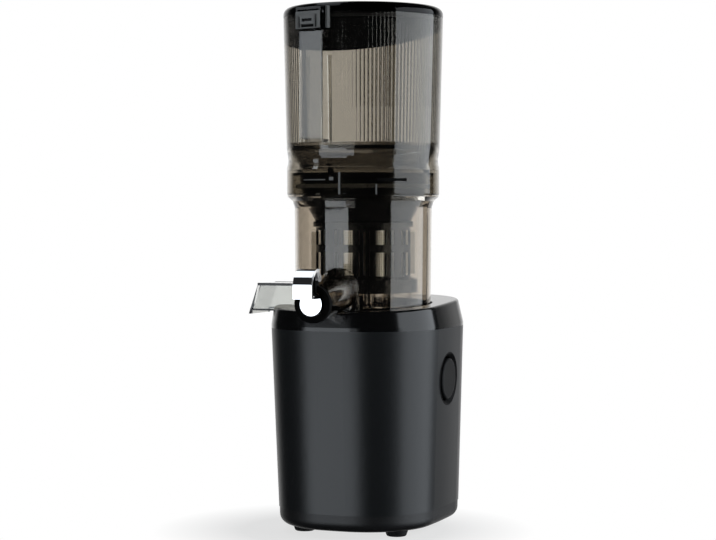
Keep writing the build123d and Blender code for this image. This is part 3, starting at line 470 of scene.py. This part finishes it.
# %% Finish of each node
NODE_FINISH = {
    "charcoal_paint": ["base_body"],
    "switch_face": ["switch_rocker"],
    "switch_ring": ["switch_bezel"],
    "gloss_black": ["base_top_cover"],
    "black_plastic": ["base_bottom_cover", "switch_block"],
    "rubber": ["rubber_feet", "cord_gland", "motor_dampers"],
    "steel": [
        "housing_screws", "shaft_bearing", "motor_screws", "drive_shaft", "switch_pin",
        "idler_pins", "cap_pin", "auger_bush", "lid_hinge_pin", "latch_pin",
    ],
    "motor_metal": ["motor", "gear_case"],
    "board_green": ["control_board"],
    "dark_resin": ["strainer", "auger", "feed_blade", "wiper_frame", "hopper_throat", "lid_skirt"],
    "smoke_column": ["hinge_column", "hopper_floor"],
    "chrome": ["smart_cap"],
    "silicone": ["shaft_seal", "bowl_seal", "lid_seal"],
    "matt_silicone_and_painted_shade": ["spout_ring", "cap_plug"],
    "pale_silicone": ["hopper_seal"],
    "clear_silicone": ["wiper_blades"],
    "white_resin": ["idler_gear_1", "idler_gear_2"],
    "smoke_bowl": ["juicing_bowl", "bowl_floor", "juice_spout", "duct_cover"],
    "smoke_chute": ["pulp_chute"],
    "smoke_collar": ["hopper_collar"],
    "smoke_lid": ["lid"],
}
for finish, names in NODE_FINISH.items():
    for name in names:
        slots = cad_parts[name].data.materials
        slots.clear()
        slots.append(FINISHES[finish])
print("nodes dressed:", sum(len(names) for names in NODE_FINISH.values()))

# %% [markdown]
# ## Making a piece
# A new piece starts as a plain mesh. Its faces are shaded smooth except at sharp edges, and
# weighted normals let its large flat faces mirror as flat ones, which a smooth bevel beside them
# would otherwise spoil.

# %% Piece helpers
SHARP_ANGLE = math.radians(34)


def plain_mesh(piece):
    """The mesh of an object with its modifiers applied."""
    bpy.context.view_layer.update()
    seen = piece.evaluated_get(bpy.context.evaluated_depsgraph_get())
    return bpy.data.meshes.new_from_object(seen)


def new_piece(name, mesh, material):
    """An object of a mesh, smooth but for its sharp edges, with large flat faces shaded flat."""
    mesh.shade_smooth()
    mesh.set_sharp_from_angle(angle=SHARP_ANGLE)
    shaded = add_object("shaded", mesh)
    shaded.modifiers.new("flat_faces", "WEIGHTED_NORMAL").keep_sharp = True
    mesh = plain_mesh(shaded)
    bpy.data.objects.remove(shaded)
    mesh.name = name
    mesh.materials.clear()
    mesh.materials.append(material)
    return add_object(name, mesh)


def closed_mesh(points, faces):
    """A mesh of points in metres and faces, with every face turned outward."""
    mesh = bpy.data.meshes.new("closed")
    mesh.from_pydata(points, [], faces)
    shape = bmesh.new()
    shape.from_mesh(mesh)
    bmesh.ops.recalc_face_normals(shape, faces=shape.faces)
    shape.to_mesh(mesh)
    shape.free()
    return mesh


print("edges sharper than", round(math.degrees(SHARP_ANGLE)), "degrees stay sharp")

# %% [markdown]
# ## Turned wall
# The hopper is a body of revolution with a slim waist above its foot, moulded in one piece. Its
# wall is one closed profile swept about the drive axis. A profile is a list of radius and height,
# given the way round that closes the wall. Six points to a flute leave room to draw a wave on the
# wall later.

# %% Turned wall
FLUTES = 124
POINTS_TO_A_FLUTE = 6
DRUM_PROFILE = [
    (76, 358), (76, 360.5), (75.2, 363), (74.8, 365.5), (74.7, 368), (74.9, 371.5), (75.6, 375),
    (76.2, 378.5), (79.6, 509), (77.1, 509), (77.06, 507.6), (73.74, 385.4), (73.7, 384),
    (72.7, 377.5), (72.2, 369), (72.2, 366.5), (73.5, 360), (73.5, 358),
]
FLUTED_POINTS = (10, 11)  # the two points of the profile between which the flutes run


def turned(profile, segments, marked=()):
    """A mesh swept about the drive axis; its attribute inside is 1 at the marked points."""
    rings = len(profile)
    points, faces = [], []
    for i in range(segments):
        turn = 2 * math.pi * i / segments
        points += [
            (AXIS.x + r * MM * math.cos(turn), AXIS.y + r * MM * math.sin(turn), z * MM)
            for r, z in profile
        ]
        for j in range(rings):
            here, there = i * rings, (i + 1) % segments * rings
            following = (j + 1) % rings
            faces.append((here + j, there + j, there + following, here + following))
    mesh = closed_mesh(points, faces)
    inside = mesh.attributes.new("inside", "FLOAT", "POINT")
    inside.data.foreach_set("value", [float(i % rings in marked) for i in range(len(points))])
    return mesh


wall = turned(DRUM_PROFILE, FLUTES * POINTS_TO_A_FLUTE, FLUTED_POINTS)
print("plain wall:", len(wall.polygons), "faces")

# %% [markdown]
# ## Growing trees
# What repeats or follows a rule is made by Geometry Nodes. Every tree here takes a mesh, some named
# values and a material, and ends the same way: its copies are made real and painted. A tree is put
# on a seed object, its inputs are set, and the plain mesh that comes out is all that is kept.

# %% Tree helpers
def geometry_tree(name, **inputs):
    """A Geometry Nodes tree with named inputs; returns it with its two end nodes."""
    tree = bpy.data.node_groups.new(name, "GeometryNodeTree")
    for label, kind in {"Geometry": "Geometry", **inputs, "Material": "Material"}.items():
        tree.interface.new_socket(label, in_out="INPUT", socket_type="NodeSocket" + kind)
    tree.interface.new_socket("Geometry", in_out="OUTPUT", socket_type="NodeSocketGeometry")
    return tree, tree.nodes.new("NodeGroupInput"), tree.nodes.new("NodeGroupOutput")


def end_tree(tree, start, end, made):
    """Ends a tree in Realize Instances and Set Material."""
    real = add_node(tree, "GeometryNodeRealizeInstances", Geometry=made)
    paint = add_node(
        tree, "GeometryNodeSetMaterial", Geometry=real.outputs[0],
        Material=start.outputs["Material"],
    )
    feed(tree, end.inputs["Geometry"], paint.outputs[0])
    return tree


def grown(tree, mesh, **values):
    """The plain mesh that a Geometry Nodes tree makes of a mesh, with its inputs set by name."""
    seed = add_object("seed", mesh)
    change = seed.modifiers.new("grow", "NODES")
    change.node_group = tree
    for item in tree.interface.items_tree:
        if item.in_out == "INPUT" and item.name in values:
            change[item.identifier] = values[item.name]
    result = plain_mesh(seed)
    seed.modifiers.clear()
    bpy.data.objects.remove(seed)
    return result


print("tree helpers: begin, end, grow")

# %% [markdown]
# ## Flutes
# The inner face of the hopper is moulded with fine upright flutes, which draw thin light and dark
# lines through everything seen in it. The points of that face were marked when the wall was turned,
# and a tree now moves them in and out as a wave round the axis.

# %% Flutes
FLUTE_DEPTH = 0.2  # how far the wave goes to each side


def flutes_tree():
    """Moves the marked points of a wall in and out, as evenly spaced flutes round an axis."""
    tree, start, end = geometry_tree("flutes", Count="Float", Depth="Float", Axis="Vector")
    given = start.outputs
    position = tree.nodes.new("GeometryNodeInputPosition").outputs[0]
    offset = vector_node(tree, "SUBTRACT", position, given["Axis"])
    flat = vector_node(tree, "MULTIPLY", offset, (1, 1, 0))
    parts = add_node(tree, "ShaderNodeSeparateXYZ", Vector=flat).outputs
    turn = math_node(tree, "ARCTAN2", parts["Y"], parts["X"])
    wave = math_node(tree, "SINE", math_node(tree, "MULTIPLY", turn, given["Count"]))
    marked = add_node(tree, "GeometryNodeInputNamedAttribute", Name="inside")
    push = math_node(tree, "MULTIPLY", wave, marked.outputs["Attribute"])
    push = math_node(tree, "MULTIPLY", push, given["Depth"])
    shift = vector_node(tree, "SCALE", vector_node(tree, "NORMALIZE", flat), scale=push)
    move = add_node(tree, "GeometryNodeSetPosition", Geometry=given["Geometry"], Offset=shift)
    return end_tree(tree, start, end, move.outputs[0])


wall = grown(
    flutes_tree(), wall, Count=float(FLUTES), Depth=FLUTE_DEPTH * MM, Axis=AXIS,
    Material=FINISHES["smoke_drum"],
)
print("fluted wall:", FLUTES, "flutes,", FLUTE_DEPTH, "mm in and out")

# %% [markdown]
# ## Blocks that join and cut
# Ribs, rails, slots and recesses are boxes, most with softened edges. An exact Boolean joins each
# to its wall or cuts it from it, so the result stays one closed skin.

# %% Blocks
def block(low, high, turn=0, bevel=0.0):
    """A box between two corners, turned by degrees about the drive axis."""
    mesh = bpy.data.meshes.new("block")
    shape = bmesh.new()
    bmesh.ops.create_cube(shape, size=1)
    size = Vector(high) - Vector(low)
    centre = (Vector(high) + Vector(low)) / 2
    rotation = Matrix.Rotation(math.radians(turn), 3, "Z")
    bmesh.ops.scale(shape, vec=size * MM, verts=shape.verts)
    if bevel:
        bmesh.ops.bevel(
            shape, geom=shape.edges, offset=bevel * MM, segments=2, profile=0.5, affect="EDGES",
        )
    bmesh.ops.translate(shape, vec=centre * MM, verts=shape.verts)
    bmesh.ops.rotate(shape, cent=(0, 0, 0), matrix=rotation, verts=shape.verts)
    bmesh.ops.translate(shape, vec=AXIS, verts=shape.verts)
    shape.to_mesh(mesh)
    shape.free()
    return mesh


def combine(mesh, tool_mesh, operation):
    """The mesh with another one joined to it or cut from it."""
    target, tool = add_object("target", mesh), add_object("tool", tool_mesh)
    change = target.modifiers.new("change", "BOOLEAN")
    change.operation = operation
    change.solver = "EXACT"
    change.object = tool
    result = plain_mesh(target)
    for part in (target, tool):
        bpy.data.objects.remove(part)
    return result


print("block helpers: block, combine")

# %% [markdown]
# ## Rib of the hopper
# A hollow rib carries the latch. It stands on the wall a little left of the front, moulded in one
# with it, and two rails run on inside. Here the rib is joined to the wall as a block, hollowed by a
# smaller one, and its face is given a darker tint of the same plastic, painted shade of the hollow
# behind it.

# %% Hopper wall
RIB_TURN = -16
RIB_HALF = 14.4
RIB_SIDE = 2.5
RIB_BLOCK = ((-RIB_HALF, -84.6, 384), (RIB_HALF, -75, 491.5))
RIB_HOLLOW = ((-RIB_HALF + RIB_SIDE, -82.2, 387), (RIB_HALF - RIB_SIDE, -70, 488.5))
RIB_PAINTED_SHADE_FROM = 81.5
RAIL_WIDE = 2.4
RAIL_LOW, RAIL_HIGH = (-76.6, 384.3), (-69.5, 468)  # depth and height of its corners

wall = combine(wall, block(*RIB_BLOCK, RIB_TURN, bevel=0.7), "UNION")
wall = combine(wall, block(*RIB_HOLLOW, RIB_TURN), "DIFFERENCE")
for rail in (RIB_HALF - RAIL_WIDE, -RIB_HALF):
    rail_block = block((rail, *RAIL_LOW), (rail + RAIL_WIDE, *RAIL_HIGH), RIB_TURN)
    wall = combine(wall, rail_block, "UNION")
hopper_wall = new_piece("hopper_wall", wall, FINISHES["smoke_drum"])
hopper_wall.data.materials.append(FINISHES["smoke_rib_painted_shade"])
RIB_OUTWARD = Matrix.Rotation(math.radians(RIB_TURN), 3, "Z") @ Vector((0, -1, 0))
# Faces on the front of the rib get the darker tint, which paints the shade inside the hollow rib.
for polygon in hopper_wall.data.polygons:
    reach = (polygon.center - AXIS).dot(RIB_OUTWARD)
    polygon.material_index = int(reach > RIB_PAINTED_SHADE_FROM * MM)
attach(hopper_wall, "hopper")
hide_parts("hopper_drum")
print("hopper wall:", FLUTES, "flutes,", len(wall.polygons), "faces")

# %% [markdown]
# ## Lid latch
# The latch is a flap of grey resin as wide as the rib. It has an upright slot near each side, a
# window between them and a grip below. The flap of the frame is taken over, made as wide as its
# housing, and the slots are cut into it; their floors are painted black, as the shade in them.

# %% Latch
LATCH_FACE = -89.2
FLAP_BLOCK = ((-14.9, LATCH_FACE, 493.2), (14.9, -86.2, 509.9))
LATCH_CUTS = [  # from and to across the flap, and the lower and upper edge
    (-11.8, -9.4, 494.2, 505), (8.6, 11.0, 494.2, 506.5),
    (-7.2, 5.2, 499.8, 502.8), (-8.2, 7.4, 494.4, 497.4),
]
CUT_DEPTH = 1.6
CUT_START = 0.8  # how far in front of the face a cutter begins
# how far behind the face the painted shade of the recesses begins
PAINTED_SHADE_BELOW = 0.9
GUIDE_BLOCK = ((15.4, -81.4, 493.5), (18.6, -77.5, 514.5))
MERGE_GAP = 1e-6


def frame_copy(node):
    """A merged copy of a CAD node's mesh, to be worked on."""
    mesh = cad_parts[node].data.copy()
    shape = bmesh.new()
    shape.from_mesh(mesh)
    bmesh.ops.remove_doubles(shape, verts=shape.verts, dist=MERGE_GAP)
    shape.to_mesh(mesh)
    shape.free()
    return mesh


flap = combine(frame_copy("lid_latch"), block(*FLAP_BLOCK, RIB_TURN, bevel=0.5), "UNION")
for from_x, to_x, from_z, to_z in LATCH_CUTS:
    near, far = LATCH_FACE - CUT_START, LATCH_FACE + CUT_DEPTH
    cutter = block((from_x, near, from_z), (to_x, far, to_z), RIB_TURN)
    flap = combine(flap, cutter, "DIFFERENCE")
latch_flap = new_piece("latch_flap", flap, FINISHES["grey_resin_and_painted_highlight"])
latch_flap.data.materials.append(FINISHES["dark_resin"])
# Faces set back from the flap's face take the dark finish: painted shade in the slots and window.
for polygon in latch_flap.data.polygons:
    reach = (polygon.center - AXIS).dot(RIB_OUTWARD)
    polygon.material_index = int(reach < (-LATCH_FACE - PAINTED_SHADE_BELOW) * MM)
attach(latch_flap, "latch")
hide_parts("lid_latch")

# A strip beside the flap in pale grey: a painted highlight, as it faces away from any light it
# could mirror.
guide = block(*GUIDE_BLOCK, RIB_TURN, bevel=0.5)
latch_guide = new_piece("latch_guide", guide, FINISHES["grey_resin_and_painted_highlight"])
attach(latch_guide, "lid_set")
print("latch flap:", len(flap.polygons), "faces with", len(LATCH_CUTS), "recesses")

# %% [markdown]
# ## Ring under the funnel
# A soft black ring closes the slit between the foot of the hopper's funnel and the strainer, so
# that no light shows between them: the ring is painted shade. It is a turned shell that lifts off
# with the hopper.

# %% Funnel ring
RING_PROFILE = [
    (44.8, 306.1), (49.6, 306.1), (49.9, 306.5), (49.6, 307.2), (45.2, 307.2), (44.8, 306.7),
]
RING_SEGMENTS = 96

ring = turned(RING_PROFILE, RING_SEGMENTS)
funnel_ring = new_piece("funnel_ring", ring, FINISHES["matt_silicone_and_painted_shade"])
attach(funnel_ring, "hopper")
print("funnel ring:", len(RING_PROFILE), "points round")

# %% [markdown]
# ## Edges of the pulp chute
# The clear chute shows a dark edge along its top and bottom, where light is caught in the thickness
# of the wall. Four slim bars of dark resin paint that shade along those edges, and a rounded tip
# ends each hanging corner.

# %% Chute edges
CHUTE_SHADE_BARS = [
    ((-105.4, -23.2, 242.6), (-68.6, -20.8, 245.25)),
    ((-105.4, 20.8, 242.6), (-68.6, 23.2, 245.25)),
    ((-113, -23.2, 217.35), (-86, -20.8, 219.2)),
    ((-113, 20.8, 217.35), (-86, 23.2, 219.2)),
]
CHUTE_TIPS = [((-113.2, side, 215.2), (-112.4, side, 218.6)) for side in (-22.2, 22.2)]
TIP_R = 1.4
BEAD_SEGMENTS = 16


def bead(start, end, radius):
    """A round bar between two points, with rounded ends."""
    mesh = bpy.data.meshes.new("bead")
    shape = bmesh.new()
    start, end = Vector(start) * MM, Vector(end) * MM
    bmesh.ops.create_uvsphere(
        shape, u_segments=BEAD_SEGMENTS, v_segments=BEAD_SEGMENTS, radius=radius * MM,
    )
    for vert in shape.verts:
        if vert.co.z > 0:
            vert.co.z += (end - start).length
    turn = (end - start).to_track_quat("Z", "Y").to_matrix()
    bmesh.ops.rotate(shape, cent=(0, 0, 0), matrix=turn, verts=shape.verts)
    bmesh.ops.translate(shape, vec=start + AXIS, verts=shape.verts)
    shape.to_mesh(mesh)
    shape.free()
    return mesh


tips = [bead(*ends, TIP_R) for ends in CHUTE_TIPS]
edges = combine(*tips, "UNION")
for bar in CHUTE_SHADE_BARS:
    edges = combine(edges, block(*bar, bevel=0.4), "UNION")
chute_edges = new_piece("chute_edges", edges, FINISHES["dark_resin"])
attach(chute_edges, "bowl")
print("chute edges:", len(CHUTE_SHADE_BARS), "bars and", len(CHUTE_TIPS), "tips")

# %% [markdown]
# ## Marks on the collar
# The collar turns a little to lock on the bowl. Raised lines round it show where: two upright ones
# at the ends of the turn, a long slim one, a slot between them and a small square. Each is a thin
# curved band that follows the collar. The lines are light grey, a painted highlight along them, and
# the slot is black, painted shade.

# %% Collar marks
COLLAR_R = 76
COLLAR_MARKS = [  # compass angles of the two ends, heights of the two edges
    (2.6, 4.0, 333.6, 355), (30, 31, 333.6, 343.5),
    (-28.5, -8, 347.4, 348.3), (-4.6, -1.4, 347.2, 350.4),
]
# the slot is a black band laid on the collar, painted shade where a recess would be
SLOT_SHADE_BAND = (31, 54.5, 346.4, 349.2)
MARK_SUNK = 0.4
MARK_PROUD = 0.35
SLOT_SHADE_PROUD = 0.2


def round_band(from_angle, to_angle, low, high, inner, outer):
    """A curved band about the drive axis between two compass angles, heights and radii."""
    steps = max(2, round((to_angle - from_angle) / 2))
    points, faces = [], []
    for i in range(steps + 1):
        a = math.radians(from_angle + (to_angle - from_angle) * i / steps)
        for r, z in ((inner, low), (outer, low), (outer, high), (inner, high)):
            points.append((AXIS.x + r * MM * math.sin(a), AXIS.y - r * MM * math.cos(a), z * MM))
    for i in range(steps):
        for j in range(4):
            k = (j + 1) % 4
            faces.append((4 * i + j, 4 * i + k, 4 * i + 4 + k, 4 * i + 4 + j))
    faces += [(3, 2, 1, 0), (4 * steps, 4 * steps + 1, 4 * steps + 2, 4 * steps + 3)]
    return closed_mesh(points, faces)


lines = [round_band(*mark, COLLAR_R - MARK_SUNK, COLLAR_R + MARK_PROUD) for mark in COLLAR_MARKS]
marks = lines[0]
for line in lines[1:]:
    marks = combine(marks, line, "UNION")
# the light grey of the raised lines is a painted highlight
collar_marks = new_piece("collar_marks", marks, FINISHES["grey_resin_and_painted_highlight"])
# a black band on the collar, painted shade of the slot
slot = round_band(*SLOT_SHADE_BAND, COLLAR_R - MARK_SUNK, COLLAR_R + SLOT_SHADE_PROUD)
collar_slot = new_piece("collar_slot", slot, FINISHES["matt_silicone_and_painted_shade"])
for piece in (collar_marks, collar_slot):
    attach(piece, "hopper")
print("collar:", len(COLLAR_MARKS), "raised lines and a slot")

# %% [markdown]
# ## Housing screws
# Four equal screws hold the bottom cover. One is made by turning its profile about its own axis and
# cutting a cross into its domed head.

# %% One screw
SCREW_HEAD_R = 3.4
SCREW_HEAD_HIGH = 3.5  # from the top of its dome to the seat, which is at height 0
SCREW_PROFILE = [
    (0, -3.5), (1.2, -3.45), (2.4, -3.1), (3.1, -2.4), (3.4, -1.4), (3.4, 0), (1.85, 0),
    (1.85, 19.2), (1.1, 20), (0, 20),
]
SCREW_SEGMENTS = 32
CROSS = (2.1, 0.42, 1.5)  # half length and half width of one arm, and its depth


def turned_solid(profile, segments):
    """A solid turned about its own upright axis, from a profile that starts and ends on it."""
    points, faces = [(0, 0, profile[0][1] * MM), (0, 0, profile[-1][1] * MM)], []
    inner = profile[1:-1]
    for i in range(segments):
        a = 2 * math.pi * i / segments
        points += [(r * MM * math.cos(a), r * MM * math.sin(a), z * MM) for r, z in inner]
    for i in range(segments):
        here, there = 2 + i * len(inner), 2 + (i + 1) % segments * len(inner)
        faces.append((0, there, here))
        faces.append((1, here + len(inner) - 1, there + len(inner) - 1))
        for j in range(len(inner) - 1):
            faces.append((here + j, there + j, there + j + 1, here + j + 1))
    return closed_mesh(points, faces)


screw = turned_solid(SCREW_PROFILE, SCREW_SEGMENTS)
arm_long, arm_wide, arm_deep = CROSS
for x, y in ((arm_long, arm_wide), (arm_wide, arm_long)):
    cutter = block((-x, -y, -5), (x, y, -SCREW_HEAD_HIGH + arm_deep))
    cutter.transform(Matrix.Translation(-AXIS))
    screw = combine(screw, cutter, "DIFFERENCE")
print("one screw:", len(screw.polygons), "faces")

# %% [markdown]
# A tree then sets a copy of the screw on each of its four places, each turned a little further
# than the last, as screws stand when they have been driven home.

# %% Screws in place
SIDE_SCREW_Y = 15
SCREW_TURN = 0.7


def scatter_tree():
    """Copies one object onto every point of another mesh, each turned further than the last."""
    tree, start, end = geometry_tree("screw_places", Copy="Object", Turn="Float")
    given = start.outputs
    source = add_node(tree, "GeometryNodeObjectInfo", Object=given["Copy"])
    number = tree.nodes.new("GeometryNodeInputIndex").outputs[0]
    turn = math_node(tree, "MULTIPLY", number, given["Turn"])
    aim = add_node(tree, "ShaderNodeCombineXYZ", Z=turn)
    copies = add_node(
        tree, "GeometryNodeInstanceOnPoints", Points=given["Geometry"],
        Instance=source.outputs["Geometry"], Rotation=aim.outputs[0],
    )
    return end_tree(tree, start, end, copies.outputs[0])


low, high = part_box("housing_screws")
seat = low.z + SCREW_HEAD_HIGH * MM
edge = SCREW_HEAD_R * MM
side_y = AXIS.y + SIDE_SCREW_Y * MM
screw_spots = [
    (low.x + edge, side_y, seat), (high.x - edge, side_y, seat),
    (AXIS.x, low.y + edge, seat), (AXIS.x, high.y - edge, seat),
]
spots = bpy.data.meshes.new("screw_spots")
spots.from_pydata(screw_spots, [], [])
pattern = add_object("screw_pattern", screw)
screws = grown(
    scatter_tree(), spots, Copy=pattern, Turn=SCREW_TURN, Material=FINISHES["steel"],
)
bpy.data.objects.remove(pattern)
cover_screws = new_piece("cover_screws", screws, FINISHES["steel"])
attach(cover_screws, "base")
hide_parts("housing_screws")
print("screws:", len(screw_spots), "at height", round(seat, 4))

# %% [markdown]
# ## Perforated screen
# The juice leaves through a thin steel screen. One square tile with a round hole is made of listed
# points, with as few faces as a hole needs, because more than two thousand copies of it are set.

# %% Screen tile
SCREEN_R = 41.0
SCREEN_LOW = 247.4
SCREEN_HIGH = 304.6
SCREEN_THICK = 0.3
HOLE_R = 0.75
TILES_ROUND = 108
TILES_HIGH = 24


def screen_tile(half_wide, half_high, hole, thick):
    """A plate with a hole of eight sides, lying across X, wide along Y and high along Z."""
    rim = [(1, 0), (1, 1), (0, 1), (-1, 1), (-1, 0), (-1, -1), (0, -1), (1, -1)]
    corners = [math.radians(45 * i) for i in range(8)]
    points = []
    for depth in (0, thick):
        points += [(depth, y * half_wide, z * half_high) for y, z in rim]
        points += [(depth, hole * math.cos(a), hole * math.sin(a)) for a in corners]
    faces = []
    for i in range(8):
        j = (i + 1) % 8
        faces.append((i, i + 8, j + 8, j))
        faces.append((i + 16, j + 16, j + 24, i + 24))
        faces.append((i + 8, i + 24, j + 24, j + 8))
        faces.append((i, j, j + 16, i + 16))
    return closed_mesh(points, faces)


step = (SCREEN_HIGH - SCREEN_LOW) / TILES_HIGH
half_wide = math.pi * SCREEN_R / TILES_ROUND
tile = screen_tile(half_wide * MM, step / 2 * MM, HOLE_R * MM, SCREEN_THICK * MM)
print("tile:", len(tile.polygons), "faces, one every", round(step, 2), "mm")

# %% [markdown]
# A tree wraps a grid of points round a cylinder and sets a copy of the tile on every point, turned
# to face outward, which makes the whole screen out of a handful of numbers.

# %% Screen
def wrap_tree():
    """Copies one tile over a grid wrapped round a cylinder: so many round it and so many up it."""
    tree, start, end = geometry_tree(
        "screen_wrap", Round="Int", High="Int", Radius="Float", Low="Float", Step="Float",
        Axis="Vector",
    )
    given = start.outputs
    number = tree.nodes.new("GeometryNodeInputIndex").outputs[0]
    column = math_node(tree, "MODULO", number, given["Round"])
    row = math_node(tree, "FLOOR", math_node(tree, "DIVIDE", number, given["Round"]))
    turn = math_node(tree, "MULTIPLY", column, 2 * math.pi)
    turn = math_node(tree, "DIVIDE", turn, given["Round"])
    place = add_node(
        tree, "ShaderNodeCombineXYZ",
        X=math_node(tree, "MULTIPLY", math_node(tree, "COSINE", turn), given["Radius"]),
        Y=math_node(tree, "MULTIPLY", math_node(tree, "SINE", turn), given["Radius"]),
        Z=math_node(tree, "ADD", math_node(tree, "MULTIPLY", row, given["Step"]), given["Low"]),
    )
    cloud = add_node(
        tree, "GeometryNodePoints",
        Count=math_node(tree, "MULTIPLY", given["Round"], given["High"]),
        Position=vector_node(tree, "ADD", place.outputs[0], given["Axis"]),
    )
    aim = add_node(tree, "ShaderNodeCombineXYZ", Z=turn)
    copies = add_node(
        tree, "GeometryNodeInstanceOnPoints", Points=cloud.outputs[0],
        Instance=given["Geometry"], Rotation=aim.outputs[0],
    )
    return end_tree(tree, start, end, copies.outputs[0])


screen = grown(
    wrap_tree(), tile, Round=TILES_ROUND, High=TILES_HIGH, Radius=(SCREEN_R - SCREEN_THICK) * MM,
    Low=(SCREEN_LOW + step / 2) * MM, Step=step * MM, Axis=AXIS,
    Material=FINISHES["screen_steel"],
)
perforated_screen = new_piece("perforated_screen", screen, FINISHES["screen_steel"])
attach(perforated_screen, "bowl")
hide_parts("strainer_screen")
print("screen:", TILES_ROUND * TILES_HIGH, "holes,", len(screen.polygons), "faces")

# %% [markdown]
# ## Sizes
# Last, the box of the dressed part is noted.

# %% Sizes and finish
low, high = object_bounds()
print("dressed part:", [round(b - a, 3) for a, b in zip(low, high)], "m")
